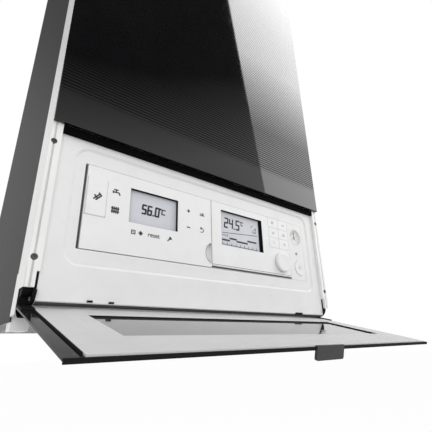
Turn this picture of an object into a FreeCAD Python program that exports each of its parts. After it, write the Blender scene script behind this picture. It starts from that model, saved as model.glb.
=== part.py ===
import FreeCAD, Part
import math
import os
from FreeCAD import Vector

# Wall-mounted condensing boiler, in millimetres.
# Origin: on the wall, midway between the two fixing holes of the wall bracket.
# +X is to the right of a person facing the boiler, -Y comes out of the wall, +Z is up.

# Casing
CASE_WIDTH = 440.0
CASE_HEIGHT = 735.0
CASE_DEPTH = 350.0
CONTROL_HEIGHT = 192.0
HANG_DROP = 60.0
SHEET = 1.2
WALL_GAP = 18.0
SIDE_SETBACK = 42.0
SIDE_RETURN = 12.0
FLOOR_RAISE = 32.0
FLOOR_FLANGE = 12.0
STAND_WIDTH = 15.0
STAND_DEPTH = 20.0
STAND_DROP = 8.0
SHELF_RAISE = 28.0
FOOT_SIZE = 30.0
FOOT_INSET = 20.0
CUT_OVERRUN = 5.0

# Wall bracket
BRACKET_LENGTH = 360.0
BRACKET_HEIGHT = 40.0
BRACKET_SHEET = 3.0
BRACKET_LIP = 15.0
HANGER_DEPTH = 9.0
HANGER_DROP = 11.0
HOLE_INSET = 30.0
HOLE_RADIUS = 4.5

# Front glass and its tray
GLASS_THICK = 4.0
GLASS_BEVEL = 0.6
TRAY_SHEET = 1.0
TRAY_CLEAR = 0.4

# Front rails and their screws
RAIL_WIDTH = 10.6
RAIL_SETBACK = 4.5
RAIL_BLOCK_DEPTH = 11.5
RAIL_FLANGE = 2.0
RAIL_END_DROP = 157.0
RAIL_SKIN_DROP = 166.0
RAIL_SKIN_THICK = 4.0
RAIL_NOTCH_DROP = 152.0
EDGE_DROP = 188.0
EDGE_SETBACK = 37.0
RAIL_NOTCH_WIDTH = 2.6
RAIL_GROOVE_WIDTH = 2.0
RAIL_GROOVE_DEPTH = 1.0
SCREW_INSET = 4.0
SCREW_DROPS = (22.3, 140.0)
SCREW_HEAD_RADIUS = 3.0
SCREW_HEAD_THICK = 2.2
SCREW_SINK = 0.3
SCREW_RADIUS = 1.5
SCREW_LENGTH = 15.0
SCREW_CLEAR = 0.05
SOCKET_RADIUS = 1.5
SOCKET_DEPTH = 1.0

# Gap strip
SEAL_SETBACK = 4.6
SEAL_THICK = 12.0

# Control fascia
FASCIA_TOP_DROP = 8.2
FASCIA_SETBACK = 9.0
FASCIA_WALL = 2.5
FASCIA_BACK = 19.0
FASCIA_THICK_DROP = 150.0
FASCIA_FLANGE_BACK = 26.0
FASCIA_CLEAR = 0.4
DISH_MARGIN = 16.2
DISH_TOP_DROP = 15.5
DISH_BOTTOM_DROP = 143.5
DISH_DEPTH = 2.0
DISH_RADIUS = 16.0
DISH_SLOPE = 2.6
INSET_LEFT_MARGIN = 27.9
INSET_RIGHT_MARGIN = 65.6
INSET_TOP_DROP = 32.8
INSET_BOTTOM_DROP = 126.0
INSET_DEPTH = 5.4
INSET_RADIUS = 1.0
INSET_CLEAR = 0.4
INSET_LEFT_GAP = 3.0
INSET_BOTTOM_GAP = 1.0
GROOVE_REACH = 36.4
GROOVE_WIDTH = 0.8
GROOVE_DEPTH = 0.6

# Base controller, with its display and outlined key
DISPLAY_SINK = 4.2
DISPLAY_CLEAR = 0.2
BASE_DISPLAY_SHARES = (0.314, 0.689)
BASE_DISPLAY_DROP = (47.4, 87.6)
SERVICE_KEY_SHARES = (0.027, 0.15)
SERVICE_KEY_DROP = (47.4, 88.5)
KEY_CLEAR = 0.14
KEY_PROUD = 0.4
KEY_THICK = 4.0
KEY_RADIUS = 1.0
NOTCH_DROP = 107.0
NOTCH_RADIUS = 14.0
NOTCH_REACH = 8.9

# Room controller, with its display, keys and selector
MODULE_WIDTH = 157.2
MODULE_BOTTOM_DROP = 122.4
ROOM_DISPLAY_LEFT = 17.8
ROOM_DISPLAY_WIDTH = 79.4
ROOM_DISPLAY_DROP = (42.9, 92.3)
ROOM_KEY_COLUMNS = {"left": 122.4, "right": 145.0}
ROOM_KEY_ROWS = {"top": 41.2, "middle": 57.2, "bottom": 73.2}
ROOM_KEY_WIDTH = 21.2
ROOM_KEY_HEIGHT = 14.8
SELECTOR_LEFT = 136.6
SELECTOR_DROP = 102.2
KNOB_RADIUS = 14.8
KNOB_SETBACK = 5.6
KNOB_GAP = 1.0
KNOB_BEVEL = 1.0
KNOB_CAP = 1.5
SPINDLE_RADIUS = 3.0
SPINDLE_BACK = 24.0
SPINDLE_END_GAP = 0.3
RUN_CLEAR = 0.05

# Pressure gauge, status lamp and on/off switch
GAUGE_OFFSET = 18.9
GAUGE_DROP = 55.6
GAUGE_RADIUS = 14.0
GAUGE_WALL = 1.2
GAUGE_LEDGE = 0.7
GAUGE_SETBACK = 10.8
GAUGE_BACK = 30.0
GAUGE_DIAL_SETBACK = 14.4
LENS_SETBACK = 11.2
LENS_THICK = 1.2
NEEDLE_LENGTH = 10.0
NEEDLE_TAIL = 3.5
NEEDLE_WIDTH = 1.0
NEEDLE_THICK = 0.6
NEEDLE_GAP = 0.6
NEEDLE_HUB_RADIUS = 1.8
NEEDLE_SHAFT_RADIUS = 0.8
NEEDLE_SHAFT_LENGTH = 4.0
SMALL_CLEAR = 0.15
LAMP_OFFSET = 17.3
LAMP_DROP = 83.2
LAMP_RADIUS = 2.2
LAMP_PROUD = 0.5
LAMP_LENGTH = 9.0
SWITCH_OFFSET = 22.0
SWITCH_DROP = 105.5
SWITCH_RADIUS = 12.0
SWITCH_PROUD = 0.8
SWITCH_LENGTH = 12.0
SWITCH_CLEAR = 0.3
SWITCH_DISH = 0.8

# Control box behind the fascia, and its board
CONTROL_BOX_BACK = 80.0
CONTROL_BOX_WALL = 2.0
EAR_HEIGHT = 15.0
EAR_BACK = 32.0
EAR_CLEAR = 0.2
BOARD_MARGIN = 24.0
BOARD_THICK = 1.6
BOARD_STANDOFF = 26.0
BOARD_POST_RADIUS = 4.0
BOARD_POST_INSET = 10.0

# Flap, drawn closed and then turned open about its pins
FLAP_OPEN_ANGLE = 104.2
FLAP_TOP_DROP = 11.2
FLAP_BOTTOM_DROP = 181.0
FLAP_GLASS_THICK = 2.2
FLAP_FRAME_THICK = 1.2
FLAP_PAD_THICK = 0.6
FLAP_FRAME_INSET = 11.2
FLAP_PAD_INSET = 20.0
FLAP_PAD_RADIUS = 18.0
FLAP_PAD_SLOPE = 4.0
MIRROR_MARGIN = 36.2
MIRROR_TOP_DROP = 49.2
MIRROR_BOTTOM_DROP = 124.4
MIRROR_THICK = 0.6
MIRROR_CLEAR = 0.3
TAB_WIDTH = 41.0
TAB_OFFSET = 6.0
TAB_REACH = 9.0
TAB_THICK = 2.5
TAB_RADIUS = 2.0

# Flap hinge
PIVOT_SETBACK = 17.5
PIVOT_DROP = 166.3
LIP_CLEAR = 0.3
PIN_RADIUS = 2.5
PIN_END_GAP = 1.0
PIN_SEAT_CLEAR = 0.02
ARM_RADIUS = 6.5
ARM_FOOT_TOP_DROP = 167.0
ARM_NECK_DROP = 178.0
ARM_FOOT_THICK = 4.0
ARM_SIDE_GAP = 0.5
HINGE_GAP = 0.4
LUG_THICK = 2.0
LUG_RADIUS = 6.5
LUG_DEPTH = 12.0
LUG_FLANGE_THICK = 2.6
LUG_FLANGE_HEIGHT = 25.0

# Pipe line at the back, and the copper pipes
PIPE_FROM_BACK = 87.0
BEND_RADIUS = 15.0
PIPE_SPACING = 65.0
WIDE_PIPE_RADIUS = 11.0
NARROW_PIPE_RADIUS = 7.5
PIPE_WALL = 1.0
PIPE_HOLE_CLEAR = 0.5
TAIL_END_RAISE = 3.0
TAIL_COLLAR = 2.0
TAIL_COLLAR_DROP = 1.8

# Condensate sump with siphon, standing on the shelf
SUMP_HEIGHT = 38.0
SUMP_WALL = 3.0
SUMP_END = 9.0
SUMP_SOCKET_DEPTH = 15.0
SIPHON_OFFSET = 15.0
SIPHON_RADIUS = 30.0
SIPHON_LENGTH = 95.0
DRAIN_RADIUS = 12.0

# Heat exchanger and burner hood
EXCHANGER_LEFT = -150.0
EXCHANGER_RIGHT = 70.0
EXCHANGER_FRONT_GAP = 80.0
FLOW_SHARE = 0.7
RETURN_SHARE = 0.15
FAN_HEADROOM = 42.6
EXCHANGER_RIB_COUNT = 6
EXCHANGER_RIB_WIDTH = 8.0
EXCHANGER_RIB_DEPTH = 6.0
HOOD_INSET = 10.0
HOOD_HEIGHT = 40.0
HOOD_WALL = 4.0

# Fan and gas valve
FAN_X = -40.0
FAN_RADIUS = 62.0
FAN_DEPTH = 50.0
FAN_WALL = 2.5
FAN_FOOT_WIDTH = 60.0
FAN_FOOT_HEIGHT = 18.0
FAN_INLET_RADIUS = 24.0
IMPELLER_RADIUS = 52.0
IMPELLER_GAP = 4.0
IMPELLER_DISC = 2.0
BLADE_COUNT = 12
BLADE_THICK = 1.5
BLADE_INNER_RADIUS = 30.0
FAN_SHAFT_RADIUS = 4.0
FAN_SHAFT_CLEAR = 0.3
MOTOR_RADIUS = 36.0
MOTOR_LENGTH = 46.0
MOTOR_END_WALL = 8.0
MIXER_RADIUS = 30.0
MIXER_ENTRY = 15.0
VALVE_HEIGHT = 60.0
VALVE_SIDE_MARGIN = 3.0
VALVE_WIDTH = 56.0

# Flue pipe and concentric adapter
FLUE_X = 130.0
FLUE_RADIUS = 40.0
FLUE_WALL = 1.5
FLUE_CLEAR = 0.3
ADAPTER_HEIGHT = 45.0
ADAPTER_SOCKET = 20.0
ADAPTER_STOP = 2.0
ADAPTER_STOP_STEP = 2.0
ADAPTER_TUBE_WALL = 1.8
ADAPTER_BASE_RADIUS = 76.0
ADAPTER_BASE_THICK = 3.0
AIR_RADIUS = 62.5
RIB_THICK = 3.0
RIB_HEIGHT = 15.0
RIB_COUNT = 3

# Expansion vessel
VESSEL_X = -40.0
VESSEL_RADIUS = 140.0
VESSEL_THICK = 68.0
VESSEL_RIM = 6.0
VESSEL_RIM_THICK = 5.0
VESSEL_DOME_RADIUS = 20.0
VESSEL_RAISE = 200.0

# Hydraulic block, pump and plate heat exchanger
BLOCK_DEPTH = 50.0
BLOCK_HEIGHT = 36.0
BLOCK_END = 15.0
BLOCK_GAS_CLEAR = 3.0
PUMP_X = 55.0
PUMP_RADIUS = 40.0
PUMP_DEPTH = 44.0
PUMP_WALL = 5.0
PUMP_FOOT_HEIGHT = 10.0
PUMP_FOOT_WIDTH = 40.0
PUMP_OUTLET_RADIUS = 15.0
PUMP_OUTLET_RISE = 15.0
PUMP_CAN_RADIUS = 36.0
PUMP_CAN_LENGTH = 58.0
ROTOR_RADIUS = 30.0
ROTOR_DISC_THICK = 14.0
ROTOR_GAP = 3.0
ROTOR_CORE_RADIUS = 24.0
ROTOR_CORE_LENGTH = 36.0
ROTOR_SHAFT_RADIUS = 4.0
PLATE_X = (-105.0, -40.0)
PLATE_DEPTH = 60.0
PLATE_HEIGHT = 132.0
PLATE_COUNT = 12
PLATE_GROOVE = 1.2
PLATE_GROOVE_DEPTH = 2.0

# Datums worked out from the driving sizes
X_SIDE = CASE_WIDTH / 2
X_IN = X_SIDE - SHEET
X_RAIL = X_SIDE - RAIL_WIDTH
X_FASCIA = X_RAIL - FASCIA_CLEAR
Z_TOP = HANG_DROP
Z_BOTTOM = Z_TOP - CASE_HEIGHT
Z_SPLIT = Z_BOTTOM + CONTROL_HEIGHT
Z_FLOOR = Z_BOTTOM + FLOOR_RAISE
Z_SHELF = Z_SPLIT + SHELF_RAISE
Y_FRONT = -CASE_DEPTH
Y_BACK = -WALL_GAP
Y_INSIDE = Y_BACK - SHEET
Y_PANEL = Y_FRONT + SIDE_SETBACK + SHEET
Y_PIPE = Y_BACK - PIPE_FROM_BACK
Z_TAIL = Z_BOTTOM + TAIL_END_RAISE
Y_EXCHANGER = Y_PIPE - BEND_RADIUS
Z_SUMP = Z_SHELF + SHEET
Z_EXCHANGER = Z_SUMP + SUMP_HEIGHT
Z_FAN = Z_TOP - SHEET - FAN_HEADROOM - FAN_RADIUS
Z_FAN_FOOT = Z_FAN - FAN_RADIUS - FAN_FOOT_HEIGHT
Z_HOOD = Z_FAN_FOOT - HOOD_HEIGHT
EXCHANGER_HEIGHT = Z_HOOD - Z_EXCHANGER
EXCHANGER_DEPTH = Y_EXCHANGER - Y_FRONT - EXCHANGER_FRONT_GAP
FLUE_Y = Y_EXCHANGER - EXCHANGER_DEPTH / 2
FAN_Y = (FLUE_Y - FAN_DEPTH / 2, FLUE_Y + FAN_DEPTH / 2)
SUMP_RIGHT = FLUE_X + FLUE_RADIUS + SUMP_END
SIPHON_X = FLUE_X + SIPHON_OFFSET
Z_BLOCK = Z_FLOOR + SHEET
Z_BLOCK_TOP = Z_BLOCK + BLOCK_HEIGHT
Z_PUMP = Z_BLOCK_TOP + PUMP_FOOT_HEIGHT + PUMP_RADIUS


def depth(behind_glass):
    """Y of a plane that lies so far behind the face of the front glass."""
    return Y_FRONT + behind_glass


def drop(below_glass):
    """Z of a line that lies so far below the lower edge of the front glass."""
    return Z_SPLIT - below_glass


PIVOT_Y = depth(PIVOT_SETBACK)
PIVOT_Z = drop(PIVOT_DROP)
Y_DISH = depth(FASCIA_SETBACK + DISH_DEPTH)
Y_INSET = Y_DISH + INSET_DEPTH
X_INSET_LEFT = INSET_LEFT_MARGIN - X_FASCIA
X_INSET_RIGHT = X_FASCIA - INSET_RIGHT_MARGIN
X_DIVISION = X_INSET_RIGHT - MODULE_WIDTH
SELECTOR_X = X_DIVISION + SELECTOR_LEFT
GAUGE_X = X_INSET_RIGHT + GAUGE_OFFSET
LAMP_X = X_INSET_RIGHT + LAMP_OFFSET
SWITCH_X = X_INSET_RIGHT + SWITCH_OFFSET

os.makedirs("parts", exist_ok=True)


def save(name, shape):
    shape.exportStep("parts/" + name + ".step")


def box(x, y, z):
    """Block between two limits on each axis."""
    return Part.makeBox(x[1] - x[0], y[1] - y[0], z[1] - z[0], Vector(x[0], y[0], z[0]))


def rod_x(radius, x, y, z):
    return Part.makeCylinder(radius, x[1] - x[0], Vector(x[0], y, z), Vector(1, 0, 0))


def rod_y(radius, x, y, z):
    return Part.makeCylinder(radius, y[1] - y[0], Vector(x, y[0], z), Vector(0, 1, 0))


def rod_z(radius, x, y, z):
    return Part.makeCylinder(radius, z[1] - z[0], Vector(x, y, z[0]), Vector(0, 0, 1))


def along(edges, axis):
    """The straight edges that run along one axis."""
    found = []
    for edge in edges:
        run = edge.Vertexes[-1].Point - edge.Vertexes[0].Point
        if run.Length > 0 and abs(run.normalize().dot(axis)) > math.cos(math.radians(1)):
            found.append(edge)
    return found


def pad(x, y, z, radius):
    """Plate in the front plane with rounded corners."""
    plate = box(x, y, z)
    return plate.makeFillet(radius, along(plate.Edges, Vector(0, 1, 0)))


def mirrored(shape):
    return shape.mirror(Vector(0, 0, 0), Vector(1, 0, 0))


def centred(half):
    return (-half, half)


def fused(first, *others):
    return first.fuse(others).removeSplitter()


# Wall bracket: a folded steel rail with an upturned lip and two fixing holes
lip_top = BRACKET_HEIGHT / 2 + BRACKET_LIP
bracket_x = centred(BRACKET_LENGTH / 2)
bracket = fused(
    box(bracket_x, (-BRACKET_SHEET, 0), centred(BRACKET_HEIGHT / 2)),
    box(bracket_x, (Y_BACK, 0), (BRACKET_HEIGHT / 2 - BRACKET_SHEET, BRACKET_HEIGHT / 2)),
    box(bracket_x, (Y_BACK, Y_BACK + BRACKET_SHEET), (BRACKET_HEIGHT / 2 - BRACKET_SHEET, lip_top)),
)
for x in centred(BRACKET_LENGTH / 2 - HOLE_INSET):
    bracket = bracket.cut(rod_y(HOLE_RADIUS, x, (-BRACKET_SHEET - CUT_OVERRUN, CUT_OVERRUN), 0))
save("wall_bracket", bracket)

# Back plate: galvanised sheet with a hanger that hooks over the bracket, and two spacer feet
hanger_y = (Y_BACK, Y_BACK + HANGER_DEPTH)
back_plate = box(centred(X_IN), (Y_INSIDE, Y_BACK), (Z_BOTTOM, Z_TOP - SHEET))
hanger = box(bracket_x, hanger_y, (lip_top, lip_top + BRACKET_SHEET))
hook_y = (hanger_y[1] - BRACKET_SHEET, hanger_y[1])
hook = box(bracket_x, hook_y, (lip_top - HANGER_DROP, lip_top + BRACKET_SHEET))
foot_z = (Z_BOTTOM + FOOT_INSET, Z_BOTTOM + FOOT_INSET + FOOT_SIZE)
foot = box((X_IN - FOOT_INSET - FOOT_SIZE, X_IN - FOOT_INSET), (Y_BACK, 0), foot_z)
save("back_plate", fused(back_plate, hanger, hook, foot, mirrored(foot)))

# Side panels: dark painted sheet, folded inwards at the front edge
side_y = (depth(SIDE_SETBACK), Y_BACK)
side_panel = fused(
    box((X_IN, X_SIDE), side_y, (Z_BOTTOM, Z_TOP)),
    box((X_SIDE - SIDE_RETURN, X_SIDE), (side_y[0], side_y[0] + SHEET), (drop(FASCIA_TOP_DROP), Z_TOP)),
)
save("right_side_panel", side_panel)
save("left_side_panel", mirrored(side_panel))

# Top panel: sheet with the hole for the flue adapter
adapter_outer = FLUE_RADIUS + FLUE_CLEAR + ADAPTER_TUBE_WALL
top_panel = box(centred(X_IN), (Y_PANEL, Y_BACK), (Z_TOP - SHEET, Z_TOP))
top_hole_z = (Z_TOP - SHEET - CUT_OVERRUN, Z_TOP + CUT_OVERRUN)
top_hole = rod_z(adapter_outer + FLUE_CLEAR, FLUE_X, FLUE_Y, top_hole_z)
save("top_panel", top_panel.cut(top_hole))

# Pipe line: what passes through the bottom panel and the shelf
tail_places = {
    "flow": (-2 * PIPE_SPACING, WIDE_PIPE_RADIUS),
    "hot": (-PIPE_SPACING, NARROW_PIPE_RADIUS),
    "gas": (0, WIDE_PIPE_RADIUS),
    "cold": (PIPE_SPACING, NARROW_PIPE_RADIUS),
    "return": (2 * PIPE_SPACING, WIDE_PIPE_RADIUS),
}


def folded_panel(z, holes):
    """Horizontal sheet between the side panels, folded down along them, with pipe holes."""
    panel = box(centred(X_IN), (Y_PANEL, Y_INSIDE), (z, z + SHEET))
    fold = box((X_IN - SHEET, X_IN), (Y_PANEL, Y_INSIDE), (z - FLOOR_FLANGE, z))
    panel = fused(panel, fold, mirrored(fold))
    for x, y, radius in holes:
        panel = panel.cut(rod_z(radius + PIPE_HOLE_CLEAR, x, y, (z - CUT_OVERRUN, z + SHEET + CUT_OVERRUN)))
    return panel


floor_holes = [(x, Y_PIPE, radius + TAIL_COLLAR) for x, radius in tail_places.values()]
floor_holes.append((SIPHON_X, FLUE_Y, DRAIN_RADIUS + TAIL_COLLAR))
collar_z = (Z_FLOOR - TAIL_COLLAR_DROP, Z_BLOCK)

# Bottom panel: folded sheet with two feet at the front, on which the boiler stands before it is hung
stand = box((X_IN - STAND_WIDTH, X_IN), (Y_PANEL, Y_PANEL + STAND_DEPTH), (Z_BOTTOM - STAND_DROP, Z_FLOOR))
save("bottom_panel", fused(folded_panel(Z_FLOOR, floor_holes), stand, mirrored(stand)))

# Service shelf: folded sheet between the exchanger space and the controls
shelf_holes = [
    (tail_places["flow"][0], Y_PIPE, WIDE_PIPE_RADIUS),
    (tail_places["gas"][0], Y_PIPE, WIDE_PIPE_RADIUS),
    (PUMP_X, Y_PIPE, WIDE_PIPE_RADIUS),
    (SIPHON_X, FLUE_Y, SIPHON_RADIUS),
]
save("service_shelf", folded_panel(Z_SHELF, shelf_holes))

# Front glass and the sheet tray that carries it between the rails
glass = box(centred(X_SIDE), (Y_FRONT, depth(GLASS_THICK)), (Z_SPLIT, Z_TOP))
glass_front = [face for face in glass.Faces if face.BoundBox.YMax < depth(GLASS_THICK) / 2 + Y_FRONT / 2][0]
save("front_glass", glass.makeChamfer(GLASS_BEVEL, glass_front.Edges))

tray_half = X_RAIL - TRAY_CLEAR
tray = box(centred(tray_half), (depth(GLASS_THICK), depth(SIDE_SETBACK)), (Z_SPLIT, Z_TOP))
tray_hollow = box(
    centred(tray_half - TRAY_SHEET),
    (depth(GLASS_THICK) + TRAY_SHEET, depth(SIDE_SETBACK) + CUT_OVERRUN),
    (Z_SPLIT + TRAY_SHEET, Z_TOP - TRAY_SHEET),
)
save("front_tray", tray.cut(tray_hollow))

# Front rails: pale aluminium profiles with a fine groove and sunk screw seats; only the front skin
# reaches down over the hinge
screw_x = X_SIDE - SCREW_INSET
rail_y = (depth(RAIL_SETBACK), depth(RAIL_SETBACK + RAIL_BLOCK_DEPTH))
rail_z = (drop(RAIL_END_DROP), Z_TOP)
skin_end = drop(RAIL_SKIN_DROP)
edge_y = (depth(EDGE_SETBACK), depth(SIDE_SETBACK))
notch_edge = X_RAIL + RAIL_NOTCH_WIDTH
rail = fused(
    box((X_RAIL, X_SIDE), rail_y, rail_z),
    box((X_RAIL, X_SIDE), (rail_y[0], rail_y[0] + RAIL_SKIN_THICK), (skin_end, rail_z[1])),
    box((X_SIDE - RAIL_FLANGE, X_SIDE), (rail_y[0], depth(SIDE_SETBACK)), rail_z),
    box((X_RAIL, X_SIDE), (rail_y[0], depth(SIDE_SETBACK)), (Z_TOP - RAIL_FLANGE, Z_TOP)),
    box((X_SIDE - RAIL_FLANGE, X_SIDE), edge_y, (drop(EDGE_DROP), rail_z[1])),
)
rail = rail.cut(box(
    (screw_x - RAIL_GROOVE_WIDTH / 2, screw_x + RAIL_GROOVE_WIDTH / 2),
    (rail_y[0] - CUT_OVERRUN, rail_y[0] + RAIL_GROOVE_DEPTH),
    (skin_end - CUT_OVERRUN, rail_z[1] + CUT_OVERRUN),
))
rail = rail.cut(box(
    (X_RAIL - CUT_OVERRUN, notch_edge),
    (rail_y[0] - CUT_OVERRUN, rail_y[1] + CUT_OVERRUN),
    (skin_end - CUT_OVERRUN, drop(RAIL_NOTCH_DROP)),
))
seat_y = rail_y[0] + SCREW_SINK + SCREW_HEAD_THICK
screws = []
for screw_drop in SCREW_DROPS:
    z = drop(screw_drop)
    rail = rail.cut(rod_y(SCREW_HEAD_RADIUS + SCREW_CLEAR, screw_x, (rail_y[0] - CUT_OVERRUN, seat_y), z))
    rail = rail.cut(rod_y(SCREW_RADIUS + SCREW_CLEAR, screw_x, (rail_y[0], rail_y[1] + CUT_OVERRUN), z))
    screw = fused(
        rod_y(SCREW_HEAD_RADIUS, screw_x, (seat_y - SCREW_HEAD_THICK, seat_y), z),
        rod_y(SCREW_RADIUS, screw_x, (seat_y - SCREW_HEAD_THICK, seat_y + SCREW_LENGTH), z),
    )
    socket_y = (seat_y - SCREW_HEAD_THICK - CUT_OVERRUN, seat_y - SCREW_HEAD_THICK + SOCKET_DEPTH)
    screw = screw.cut(rod_y(SOCKET_RADIUS, screw_x, socket_y, z))
    screws += [screw, mirrored(screw)]
save("right_rail", rail)
save("left_rail", mirrored(rail))
save("rail_screws", Part.makeCompound(screws))

# Gap strip: black seal between the tray and the fascia
seal_y = (depth(SEAL_SETBACK), depth(SEAL_SETBACK + SEAL_THICK))
save("gap_seal", box(centred(X_FASCIA), seal_y, (drop(FASCIA_TOP_DROP), Z_SPLIT)))

# Control fascia: white moulding whose lower edge is rolled about the hinge line of the flap
flap_thick = FLAP_GLASS_THICK + FLAP_FRAME_THICK + FLAP_PAD_THICK
lip_radius = PIVOT_SETBACK - flap_thick - LIP_CLEAR
lip_inner = lip_radius - FASCIA_WALL


def about_pivot(radius, y):
    """Point on a circle about the hinge line, below it, at the given Y."""
    return Vector(0, y, PIVOT_Z - math.sqrt(radius ** 2 - (y - PIVOT_Y) ** 2))


def lip_arc(radius, y_from, y_to):
    start = about_pivot(radius, y_from)
    end = about_pivot(radius, y_to)
    return Part.Arc(start, about_pivot(radius, (y_from + y_to) / 2), end).toShape()


fascia_y = depth(FASCIA_SETBACK)
fascia_top = drop(FASCIA_TOP_DROP)
thick_z = drop(FASCIA_THICK_DROP)
outer_lip = lip_arc(lip_radius, fascia_y, PIVOT_Y)
inner_lip = lip_arc(lip_inner, PIVOT_Y, fascia_y + FASCIA_WALL)


def line(*points):
    vectors = [Vector(0, y, z) for y, z in points]
    return [Part.LineSegment(a, b).toShape() for a, b in zip(vectors, vectors[1:])]


outline = line((fascia_y, fascia_top), (fascia_y, about_pivot(lip_radius, fascia_y).z))
outline.append(outer_lip)
outline += line((PIVOT_Y, PIVOT_Z - lip_radius), (PIVOT_Y, PIVOT_Z - lip_inner))
outline.append(inner_lip)
outline += line(
    (fascia_y + FASCIA_WALL, about_pivot(lip_inner, fascia_y + FASCIA_WALL).z),
    (fascia_y + FASCIA_WALL, thick_z),
    (depth(FASCIA_BACK), thick_z),
    (depth(FASCIA_BACK), fascia_top),
    (fascia_y, fascia_top),
)
fascia = Part.Face(Part.Wire(outline)).extrude(Vector(2 * X_FASCIA, 0, 0))
fascia.translate(Vector(-X_FASCIA, 0, 0))
flange_y = (depth(FASCIA_BACK), depth(FASCIA_FLANGE_BACK))
fascia_side = box((X_FASCIA - FASCIA_WALL, X_FASCIA), flange_y, (thick_z, fascia_top))
fascia = fused(
    fascia,
    box(centred(X_FASCIA), flange_y, (fascia_top - FASCIA_WALL, fascia_top)),
    box(centred(X_FASCIA), flange_y, (thick_z, thick_z + FASCIA_WALL)),
    fascia_side,
    mirrored(fascia_side),
)


def rounded_wire(half, low, high, radius, y):
    """Closed outline with round corners in a plane that faces the front."""
    plate = pad(centred(half), (y, y + CUT_OVERRUN), (low, high), radius)
    face = [one for one in plate.Faces if one.BoundBox.YMax < y + CUT_OVERRUN / 2][0]
    return face.OuterWire


dish_half = X_FASCIA - DISH_MARGIN
dish_low = drop(DISH_BOTTOM_DROP)
dish_high = drop(DISH_TOP_DROP)
dish = Part.makeLoft([
    rounded_wire(dish_half, dish_low, dish_high, DISH_RADIUS, fascia_y),
    rounded_wire(dish_half - DISH_SLOPE, dish_low + DISH_SLOPE, dish_high - DISH_SLOPE,
                 DISH_RADIUS - DISH_SLOPE, Y_DISH),
], True)
fascia = fascia.cut(dish)
inset_z = (drop(INSET_BOTTOM_DROP), drop(INSET_TOP_DROP))
inset = pad((X_INSET_LEFT, X_INSET_RIGHT), (fascia_y, Y_INSET), inset_z, INSET_RADIUS)
groove_y = (fascia_y, Y_DISH + GROOVE_DEPTH)
groove_right = X_INSET_RIGHT + GROOVE_REACH
groove = box((X_DIVISION, groove_right), groove_y, inset_z)
groove_field = box((X_DIVISION - CUT_OVERRUN, groove_right - GROOVE_WIDTH), (fascia_y - CUT_OVERRUN, Y_INSET),
                   (inset_z[0] + GROOVE_WIDTH, inset_z[1] - GROOVE_WIDTH))
through_y = (fascia_y, depth(FASCIA_FLANGE_BACK) + CUT_OVERRUN)
fascia = fascia.cut([
    inset,
    groove.cut(groove_field),
    rod_y(SPINDLE_RADIUS + RUN_CLEAR, SELECTOR_X, through_y, drop(SELECTOR_DROP)),
    rod_y(GAUGE_RADIUS + SMALL_CLEAR, GAUGE_X, through_y, drop(GAUGE_DROP)),
    rod_y(LAMP_RADIUS + SMALL_CLEAR, LAMP_X, through_y, drop(LAMP_DROP)),
    rod_y(SWITCH_RADIUS + SWITCH_CLEAR, SWITCH_X, through_y, drop(SWITCH_DROP)),
])
save("control_fascia", fascia)


def window(x, drops, clear):
    """Opening through a controller plate, a clearance wider all round than what sits in it."""
    return box((x[0] - clear, x[1] + clear), (Y_DISH - CUT_OVERRUN, Y_INSET + CUT_OVERRUN),
               (drop(drops[1]) - clear, drop(drops[0]) + clear))


def spread(centre, size):
    return (centre - size / 2, centre + size / 2)


# Base controller: plate in the left of the inset, with display window, key opening and finger notch
plate_z = (inset_z[0] + INSET_BOTTOM_GAP, inset_z[1] - INSET_CLEAR)
base_plate = box((X_INSET_LEFT + INSET_LEFT_GAP, X_DIVISION - INSET_CLEAR / 2), (Y_DISH, Y_INSET), plate_z)
base_width = X_DIVISION - X_INSET_LEFT
base_display_x = [X_INSET_LEFT + share * base_width for share in BASE_DISPLAY_SHARES]
service_key_x = [X_INSET_LEFT + share * base_width for share in SERVICE_KEY_SHARES]
notch_x = X_DIVISION - NOTCH_REACH + NOTCH_RADIUS
save("base_controller", base_plate.cut([
    window(base_display_x, BASE_DISPLAY_DROP, DISPLAY_CLEAR),
    window(service_key_x, SERVICE_KEY_DROP, KEY_CLEAR),
    rod_y(NOTCH_RADIUS, notch_x, (Y_DISH - CUT_OVERRUN, Y_INSET + CUT_OVERRUN), drop(NOTCH_DROP)),
]))


def display(x, drops):
    """Flat display that stands on the floor of the inset, sunk behind the plate's face."""
    return box(x, (Y_DISH + DISPLAY_SINK, Y_INSET), (drop(drops[1]), drop(drops[0])))


def key(x, z):
    """Key cap in its opening, slightly proud of the plate."""
    return pad(x, (Y_DISH - KEY_PROUD, Y_DISH - KEY_PROUD + KEY_THICK), z, KEY_RADIUS)


save("base_display", display(base_display_x, BASE_DISPLAY_DROP))
save("service_key", key(service_key_x, (drop(SERVICE_KEY_DROP[1]), drop(SERVICE_KEY_DROP[0]))))

# Room controller: plug-in module in the right of the inset
module_z = (drop(MODULE_BOTTOM_DROP), plate_z[1])
module = box((X_DIVISION + INSET_CLEAR / 2, X_INSET_RIGHT - INSET_CLEAR), (Y_DISH, Y_INSET), module_z)
room_display_x = (X_DIVISION + ROOM_DISPLAY_LEFT, X_DIVISION + ROOM_DISPLAY_LEFT + ROOM_DISPLAY_WIDTH)
module = module.cut([
    window(room_display_x, ROOM_DISPLAY_DROP, DISPLAY_CLEAR),
    rod_y(SPINDLE_RADIUS + SMALL_CLEAR, SELECTOR_X, (Y_DISH - CUT_OVERRUN, Y_INSET + CUT_OVERRUN),
          drop(SELECTOR_DROP)),
])
for column, key_left in ROOM_KEY_COLUMNS.items():
    for row, key_drop in ROOM_KEY_ROWS.items():
        key_x = spread(X_DIVISION + key_left, ROOM_KEY_WIDTH)
        module = module.cut(window(key_x, spread(key_drop, ROOM_KEY_HEIGHT), KEY_CLEAR))
        save(row + "_" + column + "_key", key(key_x, spread(drop(key_drop), ROOM_KEY_HEIGHT)))
save("room_controller", module)
save("room_display", display(room_display_x, ROOM_DISPLAY_DROP))

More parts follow.
